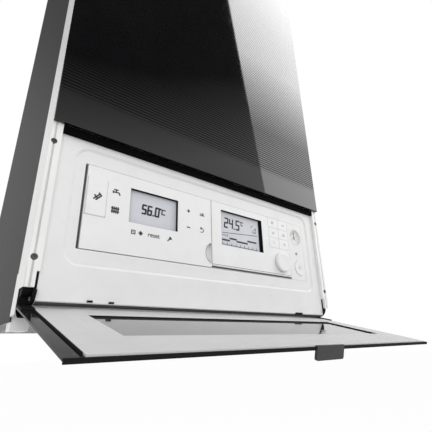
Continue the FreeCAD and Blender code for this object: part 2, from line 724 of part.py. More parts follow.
# Selector: a knob that turns on a sprung spindle
knob_z = drop(SELECTOR_DROP)
knob_y = (depth(KNOB_SETBACK), Y_DISH - KNOB_GAP)
knob = rod_y(KNOB_RADIUS, SELECTOR_X, knob_y, knob_z)
knob_rim = [edge for edge in knob.Edges if edge.BoundBox.YMax < knob_y[0] + KNOB_BEVEL]
knob = knob.makeFillet(KNOB_BEVEL, knob_rim)
knob_bore = (knob_y[0] + KNOB_CAP, knob_y[1] + CUT_OVERRUN)
save("selector_knob", knob.cut(rod_y(SPINDLE_RADIUS + RUN_CLEAR, SELECTOR_X, knob_bore, knob_z)))
save("selector_spindle",
     rod_y(SPINDLE_RADIUS, SELECTOR_X, (knob_bore[0] + SPINDLE_END_GAP, depth(SPINDLE_BACK)), knob_z))

# Pressure gauge: cup with a printed floor, needle on a shaft, and lens on a ledge
gauge_z = drop(GAUGE_DROP)
gauge_y = (depth(GAUGE_SETBACK), depth(GAUGE_BACK))
dial_y = depth(GAUGE_DIAL_SETBACK)
lens_y = (depth(LENS_SETBACK), depth(LENS_SETBACK + LENS_THICK))
bore_radius = GAUGE_RADIUS - GAUGE_WALL
needle_y = (dial_y - NEEDLE_GAP - NEEDLE_THICK, dial_y - NEEDLE_GAP)
gauge = rod_y(GAUGE_RADIUS, GAUGE_X, gauge_y, gauge_z).cut([
    rod_y(bore_radius, GAUGE_X, (gauge_y[0] - CUT_OVERRUN, lens_y[1]), gauge_z),
    rod_y(bore_radius - GAUGE_LEDGE, GAUGE_X, (gauge_y[0], dial_y), gauge_z),
    rod_y(NEEDLE_SHAFT_RADIUS + RUN_CLEAR, GAUGE_X, (dial_y, dial_y + NEEDLE_SHAFT_LENGTH), gauge_z),
])
save("gauge_case", gauge)
save("gauge_lens", rod_y(bore_radius - SMALL_CLEAR, GAUGE_X, lens_y, gauge_z))
save("gauge_needle", fused(
    rod_y(NEEDLE_HUB_RADIUS, GAUGE_X, needle_y, gauge_z),
    rod_y(NEEDLE_SHAFT_RADIUS, GAUGE_X, (needle_y[0], dial_y + NEEDLE_SHAFT_LENGTH - NEEDLE_GAP), gauge_z),
    box(spread(GAUGE_X, NEEDLE_WIDTH), needle_y, (gauge_z - NEEDLE_TAIL, gauge_z + NEEDLE_LENGTH)),
))

# Status lamp and on/off switch
lamp_y = (Y_DISH - LAMP_PROUD, Y_DISH - LAMP_PROUD + LAMP_LENGTH)
save("status_lamp", rod_y(LAMP_RADIUS, LAMP_X, lamp_y, drop(LAMP_DROP)))
switch_y = (Y_DISH - SWITCH_PROUD, Y_DISH - SWITCH_PROUD + SWITCH_LENGTH)
switch = rod_y(SWITCH_RADIUS, SWITCH_X, switch_y, drop(SWITCH_DROP))
thumb_radius = (SWITCH_RADIUS ** 2 + SWITCH_DISH ** 2) / (2 * SWITCH_DISH)
thumb = Part.makeSphere(thumb_radius, Vector(SWITCH_X, switch_y[0] + SWITCH_DISH / 2 - thumb_radius,
                                             drop(SWITCH_DROP)))
save("power_switch", switch.cut(thumb))

# Control box: open tray behind the fascia with ears behind the rails, and the board on posts
box_y = (depth(FASCIA_FLANGE_BACK), depth(CONTROL_BOX_BACK))
control_box = box(centred(X_FASCIA), box_y, (thick_z, fascia_top)).cut(box(
    centred(X_FASCIA - CONTROL_BOX_WALL),
    (box_y[0] - CUT_OVERRUN, box_y[1] - CONTROL_BOX_WALL),
    (thick_z + CONTROL_BOX_WALL, fascia_top - CONTROL_BOX_WALL),
))
ear = box((X_FASCIA, X_SIDE - RAIL_FLANGE - EAR_CLEAR), (rail_y[1], depth(EAR_BACK)),
          spread(drop(SCREW_DROPS[0]), EAR_HEIGHT))
ear_hole_y = (rail_y[1] - CUT_OVERRUN, seat_y + SCREW_LENGTH)
ear = ear.cut(rod_y(SCREW_RADIUS + SCREW_CLEAR, screw_x, ear_hole_y, drop(SCREW_DROPS[0])))
board_half = X_FASCIA - BOARD_MARGIN
board_z = (thick_z + BOARD_MARGIN, fascia_top - BOARD_MARGIN)
post_y = (box_y[1] - CONTROL_BOX_WALL - BOARD_STANDOFF, box_y[1] - CONTROL_BOX_WALL)
posts = []
for x in centred(board_half - BOARD_POST_INSET):
    for z in (board_z[0] + BOARD_POST_INSET, board_z[1] - BOARD_POST_INSET):
        posts.append(rod_y(BOARD_POST_RADIUS, x, post_y, z))
save("control_box", fused(control_box, ear, mirrored(ear), *posts))
save("main_board", box(centred(board_half), (post_y[0] - BOARD_THICK, post_y[0]), board_z))


def opened(shape):
    """Turn a flap piece from its closed place to the open stop."""
    shape.rotate(Vector(0, PIVOT_Y, PIVOT_Z), Vector(1, 0, 0), FLAP_OPEN_ANGLE)
    return shape


# Flap: dark glass, pale frame with a raised inner field, mirror insert and pull tab
flap_z = (drop(FLAP_BOTTOM_DROP), drop(FLAP_TOP_DROP))
flap_back = depth(FLAP_GLASS_THICK)
frame_y = (flap_back, flap_back + FLAP_FRAME_THICK)
frame_half = X_SIDE - FLAP_FRAME_INSET
flap_glass = box(centred(X_SIDE), (Y_FRONT, flap_back), flap_z)
flap_front = [face for face in flap_glass.Faces if face.BoundBox.YMax < (Y_FRONT + flap_back) / 2][0]
save("flap_glass", opened(flap_glass.makeChamfer(GLASS_BEVEL, flap_front.Edges)))

pad_half = frame_half - FLAP_PAD_INSET
pad_low = flap_z[0] + FLAP_PAD_INSET
pad_high = flap_z[1] - FLAP_PAD_INSET
flap_pad = Part.makeLoft([
    rounded_wire(pad_half, pad_low, pad_high, FLAP_PAD_RADIUS, frame_y[1]),
    rounded_wire(pad_half - FLAP_PAD_SLOPE, pad_low + FLAP_PAD_SLOPE, pad_high - FLAP_PAD_SLOPE,
                 FLAP_PAD_RADIUS - FLAP_PAD_SLOPE, frame_y[1] + FLAP_PAD_THICK),
], True)
flap_frame = fused(box(centred(frame_half), frame_y, flap_z), flap_pad)
mirror_half = frame_half - MIRROR_MARGIN
mirror_z = (drop(MIRROR_BOTTOM_DROP), drop(MIRROR_TOP_DROP))
mirror_hole_y = (flap_back - CUT_OVERRUN, depth(flap_thick) + CUT_OVERRUN)
flap_frame = flap_frame.cut(box(centred(mirror_half), mirror_hole_y, mirror_z))
save("flap_frame", opened(flap_frame))
save("flap_mirror", opened(box(
    centred(mirror_half - MIRROR_CLEAR),
    (flap_back, flap_back + MIRROR_THICK),
    (mirror_z[0] + MIRROR_CLEAR, mirror_z[1] - MIRROR_CLEAR),
)))
tab_y = (Y_FRONT - TAB_REACH, frame_y[1])
pull_tab = box(spread(TAB_OFFSET, TAB_WIDTH), tab_y, (flap_z[1], flap_z[1] + TAB_THICK))
tab_corners = [
    edge for edge in along(pull_tab.Edges, Vector(0, 0, 1)) if edge.BoundBox.YMax < Y_FRONT
]
save("flap_pull_tab", opened(pull_tab.makeFillet(TAB_RADIUS, tab_corners)))

# Flap hinge: moulded arms on the glass turn about pins that stand in steel brackets behind the rails
lug_x = (X_RAIL + HINGE_GAP / 2, X_RAIL + HINGE_GAP / 2 + LUG_THICK)
arm_x = (lug_x[1] + HINGE_GAP, X_SIDE - ARM_SIDE_GAP)
pin_x = (lug_x[0], arm_x[1] - PIN_END_GAP)
arm = fused(
    box(arm_x, (flap_back, flap_back + ARM_FOOT_THICK), (flap_z[0], drop(ARM_FOOT_TOP_DROP))),
    box(arm_x, (flap_back, PIVOT_Y), (drop(ARM_NECK_DROP), drop(ARM_FOOT_TOP_DROP))),
    rod_x(ARM_RADIUS, arm_x, PIVOT_Y, PIVOT_Z),
)
arm_bore_x = (arm_x[0] - CUT_OVERRUN, pin_x[1] + PIN_END_GAP / 2)
arm = arm.cut(rod_x(PIN_RADIUS + RUN_CLEAR, arm_bore_x, PIVOT_Y, PIVOT_Z))
open_arm = opened(arm)
save("right_hinge_arm", open_arm)
save("left_hinge_arm", mirrored(open_arm))

lug_back = rail_y[1] + LUG_DEPTH
bracket_z = (drop(RAIL_END_DROP), drop(RAIL_END_DROP) + LUG_FLANGE_HEIGHT)
hinge_bracket = fused(
    box(lug_x, (rail_y[1], lug_back), (PIVOT_Z, bracket_z[1])),
    rod_x(LUG_RADIUS, lug_x, PIVOT_Y, PIVOT_Z),
    box((lug_x[0], X_SIDE - RAIL_FLANGE - EAR_CLEAR), (rail_y[1], rail_y[1] + LUG_FLANGE_THICK), bracket_z),
)
bracket_screw_y = (rail_y[1] - CUT_OVERRUN, rail_y[1] + LUG_FLANGE_THICK + CUT_OVERRUN)
hinge_bracket = hinge_bracket.cut([
    rod_x(PIN_RADIUS + PIN_SEAT_CLEAR, (lug_x[0] - CUT_OVERRUN, lug_x[1] + CUT_OVERRUN), PIVOT_Y, PIVOT_Z),
    rod_y(SCREW_RADIUS + SCREW_CLEAR, screw_x, bracket_screw_y, drop(SCREW_DROPS[1])),
])
save("right_hinge_bracket", hinge_bracket)
save("left_hinge_bracket", mirrored(hinge_bracket))
pin = rod_x(PIN_RADIUS, pin_x, PIVOT_Y, PIVOT_Z)
save("hinge_pins", Part.makeCompound([pin, mirrored(pin)]))

# Condensate sump: moulded tray on the shelf, with flue socket, siphon and drain tail
exchanger_x = (EXCHANGER_LEFT, EXCHANGER_RIGHT)
exchanger_y = (Y_EXCHANGER - EXCHANGER_DEPTH, Y_EXCHANGER)
sump = box((EXCHANGER_LEFT, SUMP_RIGHT), exchanger_y, (Z_SUMP, Z_EXCHANGER))
sump = sump.cut(box(
    (EXCHANGER_LEFT + SUMP_WALL, SUMP_RIGHT - SUMP_WALL),
    (exchanger_y[0] + SUMP_WALL, exchanger_y[1] - SUMP_WALL),
    (Z_SUMP + SUMP_WALL, Z_EXCHANGER - SUMP_SOCKET_DEPTH - SUMP_WALL),
))
flue_bottom = Z_EXCHANGER - SUMP_SOCKET_DEPTH
sump = sump.cut([
    rod_z(FLUE_RADIUS + FLUE_CLEAR, FLUE_X, FLUE_Y, (flue_bottom, Z_EXCHANGER + CUT_OVERRUN)),
    rod_z(FLUE_RADIUS - FLUE_WALL, FLUE_X, FLUE_Y, (flue_bottom - SUMP_WALL - CUT_OVERRUN, Z_EXCHANGER)),
])
siphon_z = Z_SHELF - SIPHON_LENGTH
save("condensate_sump", fused(
    sump,
    rod_z(SIPHON_RADIUS, SIPHON_X, FLUE_Y, (siphon_z, Z_SUMP)),
    rod_z(DRAIN_RADIUS, SIPHON_X, FLUE_Y, (Z_TAIL, siphon_z)),
    rod_z(DRAIN_RADIUS + TAIL_COLLAR, SIPHON_X, FLUE_Y, collar_z),
))

# Heat exchanger: ribbed aluminium casting on the sump
exchanger = box(exchanger_x, exchanger_y, (Z_EXCHANGER, Z_HOOD))
rib_pitch = EXCHANGER_HEIGHT / (EXCHANGER_RIB_COUNT + 1)
grooves = []
for index in range(EXCHANGER_RIB_COUNT):
    z = spread(Z_EXCHANGER + rib_pitch * (index + 1), rib_pitch - EXCHANGER_RIB_WIDTH)
    grooves.append(box(
        (EXCHANGER_LEFT - CUT_OVERRUN, EXCHANGER_RIGHT + CUT_OVERRUN),
        (exchanger_y[0] - CUT_OVERRUN, exchanger_y[0] + EXCHANGER_RIB_DEPTH),
        z,
    ))
save("heat_exchanger", exchanger.cut(grooves))

# Burner hood: cast cover on the exchanger, hollow for the gas and air mixture
hood_x = (EXCHANGER_LEFT + HOOD_INSET, EXCHANGER_RIGHT - HOOD_INSET)
hood_y = (exchanger_y[0] + HOOD_INSET, exchanger_y[1] - HOOD_INSET)
foot_x = spread(FAN_X, FAN_FOOT_WIDTH)
hood = box(hood_x, hood_y, (Z_HOOD, Z_FAN_FOOT))
hood = hood.cut([
    box((hood_x[0] + HOOD_WALL, hood_x[1] - HOOD_WALL), (hood_y[0] + HOOD_WALL, hood_y[1] - HOOD_WALL),
        (Z_HOOD - CUT_OVERRUN, Z_FAN_FOOT - HOOD_WALL)),
    box((foot_x[0] + FAN_WALL, foot_x[1] - FAN_WALL), (FAN_Y[0] + FAN_WALL, FAN_Y[1] - FAN_WALL),
        (Z_HOOD, Z_FAN_FOOT + CUT_OVERRUN)),
])
save("burner_hood", hood)

# Fan: round housing on the hood, impeller on the motor shaft, motor in front, gas mixer behind
fan_inside_y = (FAN_Y[0] + FAN_WALL, FAN_Y[1] - FAN_WALL)
housing = fused(
    rod_y(FAN_RADIUS, FAN_X, FAN_Y, Z_FAN),
    box(foot_x, FAN_Y, (Z_FAN_FOOT, Z_FAN)),
)
housing = housing.cut([
    rod_y(FAN_RADIUS - FAN_WALL, FAN_X, fan_inside_y, Z_FAN),
    box((foot_x[0] + FAN_WALL, foot_x[1] - FAN_WALL), fan_inside_y, (Z_FAN_FOOT - CUT_OVERRUN, Z_FAN)),
    rod_y(FAN_INLET_RADIUS, FAN_X, (FAN_Y[1] - FAN_WALL - CUT_OVERRUN, FAN_Y[1] + CUT_OVERRUN), Z_FAN),
    rod_y(FAN_SHAFT_RADIUS + FAN_SHAFT_CLEAR, FAN_X, (FAN_Y[0] - CUT_OVERRUN, fan_inside_y[0] + CUT_OVERRUN),
          Z_FAN),
])
save("fan_housing", housing)

impeller_y = (fan_inside_y[0] + IMPELLER_GAP, fan_inside_y[1] - IMPELLER_GAP)
motor_y = (FAN_Y[0] - MOTOR_LENGTH, FAN_Y[0])
shaft_end = motor_y[0] + MOTOR_END_WALL
impeller = [
    rod_y(IMPELLER_RADIUS, FAN_X, (impeller_y[0], impeller_y[0] + IMPELLER_DISC), Z_FAN),
    rod_y(FAN_SHAFT_RADIUS, FAN_X, (shaft_end + SPINDLE_END_GAP, impeller_y[1]), Z_FAN),
]
for index in range(BLADE_COUNT):
    blade = box(
        (FAN_X + BLADE_INNER_RADIUS, FAN_X + IMPELLER_RADIUS),
        impeller_y,
        spread(Z_FAN, BLADE_THICK),
    )
    blade.rotate(Vector(FAN_X, 0, Z_FAN), Vector(0, 1, 0), 360 * index / BLADE_COUNT)
    impeller.append(blade)
save("fan_impeller", fused(*impeller))

motor = rod_y(MOTOR_RADIUS, FAN_X, motor_y, Z_FAN)
motor_bore_y = (shaft_end, FAN_Y[0] + CUT_OVERRUN)
save("fan_motor", motor.cut(rod_y(FAN_SHAFT_RADIUS + RUN_CLEAR, FAN_X, motor_bore_y, Z_FAN)))

# Gas valve with its mixer tube, bolted behind the fan, on top of the gas pipe
valve_x = (FAN_X + MIXER_RADIUS, FAN_X + MIXER_RADIUS + VALVE_WIDTH)
valve_y = (Y_PIPE - 2 * WIDE_PIPE_RADIUS, Y_PIPE + WIDE_PIPE_RADIUS + VALVE_SIDE_MARGIN)
mixer_y = (FAN_Y[1], valve_y[0] + MIXER_ENTRY)
valve_z = spread(Z_FAN, VALVE_HEIGHT)
valve = fused(
    rod_y(MIXER_RADIUS, FAN_X, mixer_y, Z_FAN),
    box((FAN_X, valve_x[1]), valve_y, valve_z),
)
mixer_bore_y = (mixer_y[0] - CUT_OVERRUN, valve_y[1] + CUT_OVERRUN)
save("gas_valve", valve.cut(rod_y(FAN_INLET_RADIUS, FAN_X, mixer_bore_y, Z_FAN)))

# Gas pipe: copper tube with a collar where it passes the bottom panel
gas_x = tail_places["gas"][0]
gas_pipe = fused(
    rod_z(WIDE_PIPE_RADIUS, gas_x, Y_PIPE, (Z_TAIL, valve_z[0])),
    rod_z(WIDE_PIPE_RADIUS + TAIL_COLLAR, gas_x, Y_PIPE, collar_z),
)
save("gas_pipe", gas_pipe.cut(
    rod_z(WIDE_PIPE_RADIUS - PIPE_WALL, gas_x, Y_PIPE, (Z_TAIL - CUT_OVERRUN, valve_z[0] + CUT_OVERRUN))))

# Flue pipe from the sump to the adapter, and the adapter on the top panel
flue_top = Z_TOP
save("flue_pipe", rod_z(FLUE_RADIUS, FLUE_X, FLUE_Y, (flue_bottom, flue_top)).cut(
    rod_z(FLUE_RADIUS - FLUE_WALL, FLUE_X, FLUE_Y, (flue_bottom - CUT_OVERRUN, flue_top + CUT_OVERRUN))))

adapter_top = Z_TOP + ADAPTER_HEIGHT
socket_radius = FLUE_RADIUS + FLUE_CLEAR
adapter_low = Z_TOP - ADAPTER_SOCKET
air_bore = AIR_RADIUS - ADAPTER_TUBE_WALL
adapter = fused(
    rod_z(ADAPTER_BASE_RADIUS, FLUE_X, FLUE_Y, (Z_TOP, Z_TOP + ADAPTER_BASE_THICK)),
    rod_z(AIR_RADIUS, FLUE_X, FLUE_Y, (Z_TOP, adapter_top)),
)
adapter = adapter.cut(rod_z(air_bore, FLUE_X, FLUE_Y, (Z_TOP - CUT_OVERRUN, adapter_top + CUT_OVERRUN)))
adapter = fused(adapter, rod_z(adapter_outer, FLUE_X, FLUE_Y, (adapter_low, adapter_top)))
for index in range(RIB_COUNT):
    rib = box((FLUE_X, FLUE_X + AIR_RADIUS - ADAPTER_TUBE_WALL / 2), spread(FLUE_Y, RIB_THICK),
              (Z_TOP, Z_TOP + RIB_HEIGHT))
    rib.rotate(Vector(FLUE_X, FLUE_Y, 0), Vector(0, 0, 1), 360 * index / RIB_COUNT)
    adapter = fused(adapter, rib)
stop_z = (Z_TOP, Z_TOP + ADAPTER_STOP)
save("flue_adapter", adapter.cut([
    rod_z(socket_radius, FLUE_X, FLUE_Y, (adapter_low - CUT_OVERRUN, stop_z[0])),
    rod_z(socket_radius - ADAPTER_STOP_STEP, FLUE_X, FLUE_Y, stop_z),
    rod_z(socket_radius, FLUE_X, FLUE_Y, (stop_z[1], adapter_top + CUT_OVERRUN)),
]))

# Expansion vessel: flat steel drum with a rolled rim, on the back plate
vessel_z = Z_EXCHANGER + VESSEL_RAISE
vessel_y = (Y_INSIDE - VESSEL_THICK, Y_INSIDE)
drum = rod_y(VESSEL_RADIUS, VESSEL_X, vessel_y, vessel_z)
drum_front = [edge for edge in drum.Edges if edge.BoundBox.YMax < vessel_y[0] + VESSEL_RIM]
drum = drum.makeFillet(VESSEL_DOME_RADIUS, drum_front)
rim_y = spread((vessel_y[0] + vessel_y[1]) / 2, VESSEL_RIM_THICK)
save("expansion_vessel", fused(drum, rod_y(VESSEL_RADIUS + VESSEL_RIM, VESSEL_X, rim_y, vessel_z)))

# Hydraulic block: moulded manifold on the bottom panel with its four water tails
block_x = (tail_places["flow"][0] - BLOCK_END, tail_places["return"][0] + BLOCK_END)
block = box(block_x, spread(Y_PIPE, BLOCK_DEPTH), (Z_BLOCK, Z_BLOCK_TOP))
block = block.cut(rod_z(WIDE_PIPE_RADIUS + BLOCK_GAS_CLEAR, tail_places["gas"][0], Y_PIPE,
                        (Z_BLOCK - CUT_OVERRUN, Z_BLOCK_TOP + CUT_OVERRUN)))
for name, (x, radius) in tail_places.items():
    if name != "gas":
        block = fused(
            block,
            rod_z(radius, x, Y_PIPE, (Z_TAIL, Z_BLOCK)),
            rod_z(radius + TAIL_COLLAR, x, Y_PIPE, collar_z),
        )
        bore_z = (Z_TAIL - CUT_OVERRUN, Z_BLOCK + BLOCK_HEIGHT / 2)
        block = block.cut(rod_z(radius - PIPE_WALL, x, Y_PIPE, bore_z))
save("hydraulic_block", block)

# Pump: volute and motor can on the block, with the rotor inside
volute_y = spread(Y_PIPE, PUMP_DEPTH)
can_y = (volute_y[0] - PUMP_CAN_LENGTH, volute_y[0])
pump_top = Z_PUMP + PUMP_RADIUS + PUMP_OUTLET_RISE
rotor_y = (volute_y[0] + PUMP_WALL + ROTOR_GAP, volute_y[0] + PUMP_WALL + ROTOR_GAP + ROTOR_DISC_THICK)
core_y = (rotor_y[0] - ROTOR_GAP - ROTOR_CORE_LENGTH, rotor_y[0])
shaft_y = (can_y[0] + PUMP_WALL + SPINDLE_END_GAP, rotor_y[1])
pump = fused(
    rod_y(PUMP_RADIUS, PUMP_X, volute_y, Z_PUMP),
    rod_y(PUMP_CAN_RADIUS, PUMP_X, can_y, Z_PUMP),
    box(spread(PUMP_X, PUMP_FOOT_WIDTH), volute_y, (Z_BLOCK_TOP, Z_PUMP)),
    rod_z(PUMP_OUTLET_RADIUS, PUMP_X, Y_PIPE, (Z_PUMP, pump_top)),
)
pump = pump.cut([
    rod_y(PUMP_RADIUS - PUMP_WALL, PUMP_X, (volute_y[0] + PUMP_WALL, volute_y[1] - PUMP_WALL), Z_PUMP),
    rod_y(ROTOR_CORE_RADIUS + ROTOR_GAP, PUMP_X, (core_y[0] - ROTOR_GAP, volute_y[0] + PUMP_WALL), Z_PUMP),
    rod_y(ROTOR_SHAFT_RADIUS + RUN_CLEAR, PUMP_X, (can_y[0] + PUMP_WALL, core_y[0]), Z_PUMP),
    rod_z(WIDE_PIPE_RADIUS - PIPE_WALL, PUMP_X, Y_PIPE, (Z_PUMP, pump_top + CUT_OVERRUN)),
])
save("pump_housing", pump)
save("pump_rotor", fused(
    rod_y(ROTOR_RADIUS, PUMP_X, rotor_y, Z_PUMP),
    rod_y(ROTOR_CORE_RADIUS, PUMP_X, core_y, Z_PUMP),
    rod_y(ROTOR_SHAFT_RADIUS, PUMP_X, shaft_y, Z_PUMP),
))

# Plate heat exchanger: brazed stack on the block
plate_y = spread(Y_PIPE, PLATE_DEPTH)
stack_z = (Z_BLOCK_TOP, Z_BLOCK_TOP + PLATE_HEIGHT)
stack = box(PLATE_X, plate_y, stack_z)
pitch = PLATE_DEPTH / (PLATE_COUNT + 1)
slits = []
for index in range(PLATE_COUNT):
    slit_y = spread(plate_y[0] + pitch * (index + 1), PLATE_GROOVE)
    slits.append(box((PLATE_X[0] - CUT_OVERRUN, PLATE_X[0] + PLATE_GROOVE_DEPTH), slit_y,
                     (stack_z[0] - CUT_OVERRUN, stack_z[1] + CUT_OVERRUN)))
    slits.append(box((PLATE_X[1] - PLATE_GROOVE_DEPTH, PLATE_X[1] + CUT_OVERRUN), slit_y,
                     (stack_z[0] - CUT_OVERRUN, stack_z[1] + CUT_OVERRUN)))
save("plate_exchanger", stack.cut(slits))


def bent_pipe(x, z_low, z_high):
    """Copper pipe that rises at the back and turns forward into the exchanger."""
    corner = z_high - BEND_RADIUS
    centre_y = Y_PIPE - BEND_RADIUS
    slant = BEND_RADIUS * math.sqrt(0.5)
    middle = Vector(x, centre_y + slant, corner + slant)
    path = Part.Wire([
        Part.LineSegment(Vector(x, Y_PIPE, z_low), Vector(x, Y_PIPE, corner)).toShape(),
        Part.Arc(Vector(x, Y_PIPE, corner), middle, Vector(x, centre_y, z_high)).toShape(),
    ])
    ring = [
        Part.Wire(Part.makeCircle(radius, Vector(x, Y_PIPE, z_low), Vector(0, 0, 1)))
        for radius in (WIDE_PIPE_RADIUS, WIDE_PIPE_RADIUS - PIPE_WALL)
    ]
    outer = path.makePipeShell([ring[0]], True, False)
    return outer.cut(path.makePipeShell([ring[1]], True, False))


save("flow_pipe", bent_pipe(tail_places["flow"][0], Z_BLOCK_TOP, Z_EXCHANGER + FLOW_SHARE * EXCHANGER_HEIGHT))
save("return_pipe", bent_pipe(PUMP_X, pump_top, Z_EXCHANGER + RETURN_SHARE * EXCHANGER_HEIGHT))
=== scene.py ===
import bmesh
import bpy
import math
from mathutils import Matrix, Vector


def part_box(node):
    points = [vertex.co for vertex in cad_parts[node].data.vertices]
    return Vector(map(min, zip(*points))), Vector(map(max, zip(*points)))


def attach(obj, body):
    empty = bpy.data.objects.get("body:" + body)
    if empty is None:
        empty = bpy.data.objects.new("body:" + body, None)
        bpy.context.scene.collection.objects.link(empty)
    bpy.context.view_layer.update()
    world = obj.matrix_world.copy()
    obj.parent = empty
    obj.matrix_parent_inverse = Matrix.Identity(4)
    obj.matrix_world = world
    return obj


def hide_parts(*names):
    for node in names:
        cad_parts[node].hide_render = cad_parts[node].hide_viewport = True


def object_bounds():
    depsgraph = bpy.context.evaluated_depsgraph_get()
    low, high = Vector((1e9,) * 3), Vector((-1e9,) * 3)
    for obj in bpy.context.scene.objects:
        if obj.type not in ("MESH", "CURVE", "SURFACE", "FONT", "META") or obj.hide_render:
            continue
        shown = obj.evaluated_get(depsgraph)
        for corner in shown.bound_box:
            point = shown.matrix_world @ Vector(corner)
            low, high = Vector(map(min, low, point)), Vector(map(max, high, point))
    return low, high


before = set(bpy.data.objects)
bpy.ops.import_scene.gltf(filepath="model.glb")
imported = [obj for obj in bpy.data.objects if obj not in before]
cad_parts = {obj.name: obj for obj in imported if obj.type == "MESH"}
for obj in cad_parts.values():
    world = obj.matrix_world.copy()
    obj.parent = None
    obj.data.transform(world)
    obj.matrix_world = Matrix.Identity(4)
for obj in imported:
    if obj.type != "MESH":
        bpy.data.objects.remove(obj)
cad_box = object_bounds()


# Wall bracket, back plate, shelf and front tray: folded sheet steel, hot-dip galvanised.
# The zinc shows as soft crystals a few millimetres wide, duller in some than in others.
# The bracket is bolted to the wall, and the rest is riveted to the back plate.
MM = 0.001
CLOUD_DETAIL = 3.0
FIELD_LOW = 0.3
FIELD_HIGH = 0.7
CRYSTALS_PER_METRE = 140.0


def new_material(name, roughness, metallic=0.0):
    """A fresh material, returned with its node tree and its shader."""
    material = bpy.data.materials.new(name)
    material.use_nodes = True
    shader = material.node_tree.nodes["Principled BSDF"]
    shader.inputs["Roughness"].default_value = roughness
    shader.inputs["Metallic"].default_value = metallic
    return material, material.node_tree, shader


def own_place(tree, stretch=(1, 1, 1)):
    """The piece's own coordinates, squeezed along each axis by stretch."""
    place = tree.nodes.new("ShaderNodeTexCoord")
    mapping = tree.nodes.new("ShaderNodeMapping")
    mapping.inputs["Scale"].default_value = stretch
    tree.links.new(place.outputs["Object"], mapping.inputs["Vector"])
    return mapping.outputs["Vector"]


def cloudy(tree, size, stretch=(1, 1, 1)):
    """Random soft field with spots of about one size, in metres."""
    noise = tree.nodes.new("ShaderNodeTexNoise")
    noise.inputs["Scale"].default_value = 1 / size
    noise.inputs["Detail"].default_value = CLOUD_DETAIL
    tree.links.new(own_place(tree, stretch), noise.inputs["Vector"])
    return noise.outputs["Fac"]


def two_tone(tree, field, dark, light, start=FIELD_LOW, end=FIELD_HIGH):
    """Colour that runs from dark to light with the field."""
    ramp = tree.nodes.new("ShaderNodeValToRGB")
    ramp.color_ramp.elements[0].position = start
    ramp.color_ramp.elements[0].color = (*dark, 1)
    ramp.color_ramp.elements[1].position = end
    ramp.color_ramp.elements[1].color = (*light, 1)
    tree.links.new(field, ramp.inputs["Fac"])
    return ramp.outputs["Color"]


def ranged(tree, field, start, end, low, high):
    """Number that runs from low to high while the field runs from start to end."""
    span = tree.nodes.new("ShaderNodeMapRange")
    span.inputs["From Min"].default_value = start
    span.inputs["From Max"].default_value = end
    span.inputs["To Min"].default_value = low
    span.inputs["To Max"].default_value = high
    tree.links.new(field, span.inputs["Value"])
    return span.outputs["Result"]


def uneven_gloss(tree, shader, field, low, high):
    """Roughness that runs from low to high with the field."""
    gloss = ranged(tree, field, FIELD_LOW, FIELD_HIGH, low, high)
    tree.links.new(gloss, shader.inputs["Roughness"])


def dress(material, *names):
    """Give the named frame nodes this material."""
    for name in names:
        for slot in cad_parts[name].material_slots:
            slot.material = material


zinc, tree, shader = new_material("galvanised_sheet", roughness=0.4, metallic=1.0)
crystals = tree.nodes.new("ShaderNodeTexVoronoi")
crystals.inputs["Scale"].default_value = CRYSTALS_PER_METRE
tree.links.new(own_place(tree), crystals.inputs["Vector"])
zinc_tone = two_tone(tree, crystals.outputs["Color"], dark=(0.50, 0.51, 0.53), light=(0.66, 0.67, 0.68),
                     start=0.2, end=0.8)
tree.links.new(zinc_tone, shader.inputs["Base Color"])
uneven_gloss(tree, shader, cloudy(tree, 12 * MM), low=0.32, high=0.5)
dress(zinc, "wall_bracket", "back_plate", "service_shelf", "front_tray")

# Side and top panels: deep-drawn sheet with a dark grey satin powder coat.
# The coat has a faint orange-peel skin. The sides hook into the back plate and stop at the rails.
DRIFT_GRAINS = 40
GLOSS_BELOW = 0.04
GLOSS_ABOVE = 0.06


def shade(colour, factor):
    """The same colour, made darker or lighter."""
    return tuple(min(1.0, part * factor) for part in colour)


def skin(tree, shader, field, height):
    """Fine relief, height metres deep, from the field."""
    bump = tree.nodes.new("ShaderNodeBump")
    bump.inputs["Strength"].default_value = 1.0
    bump.inputs["Distance"].default_value = height
    tree.links.new(field, bump.inputs["Height"])
    tree.links.new(bump.outputs["Normal"], shader.inputs["Normal"])


def coat(name, colour, roughness, grain, relief, drift=0.06, metallic=0.0, shine=0.5):
    """Paint or moulded plastic: colour that drifts a little, a fine skin and uneven gloss.

    The grain is the width of the skin's bumps and the relief their height, both in millimetres.
    """
    material, tree, shader = new_material(name, roughness, metallic)
    shader.inputs["Specular IOR Level"].default_value = shine
    drift_field = cloudy(tree, grain * MM * DRIFT_GRAINS)
    tone = two_tone(tree, drift_field, shade(colour, 1 - drift), shade(colour, 1 + drift))
    tree.links.new(tone, shader.inputs["Base Color"])
    grain_field = cloudy(tree, grain * MM)
    uneven_gloss(tree, shader, grain_field, roughness - GLOSS_BELOW, roughness + GLOSS_ABOVE)
    skin(tree, shader, grain_field, relief * MM)
    return material


dress(coat("side_powder_coat", (0.031, 0.031, 0.032), roughness=0.6, grain=1.6, relief=0.04, shine=0.3),
      "left_side_panel", "right_side_panel", "top_panel")

# Front glass: black glass with fine matt lines printed on its face, fading out near the lower edge.
# It is glued to the sheet tray behind it, and the bevelled edges are polished.
GLASS_IOR = 1.52
PRINT_PITCH = 4.0 * MM
PRINT_START = 28 * MM
PRINT_FULL = 46 * MM
ONE_BAND_PER_METRE = math.pi / 10
LINE_START = 0.35
LINE_FULL = 0.90
GLASS_SHINE = 0.55
LINE_SHINE = 0.02
glass_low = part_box("front_glass")[0]
FRONT_Y = glass_low.y
SPLIT_Z = glass_low.z


def patchy(tree, shader, size, dark, light, stretch=(1, 1, 1)):
    """Colour that drifts from dark to light in soft patches of about one size, in metres."""
    tone = two_tone(tree, cloudy(tree, size, stretch), dark, light)
    tree.links.new(tone, shader.inputs["Base Color"])


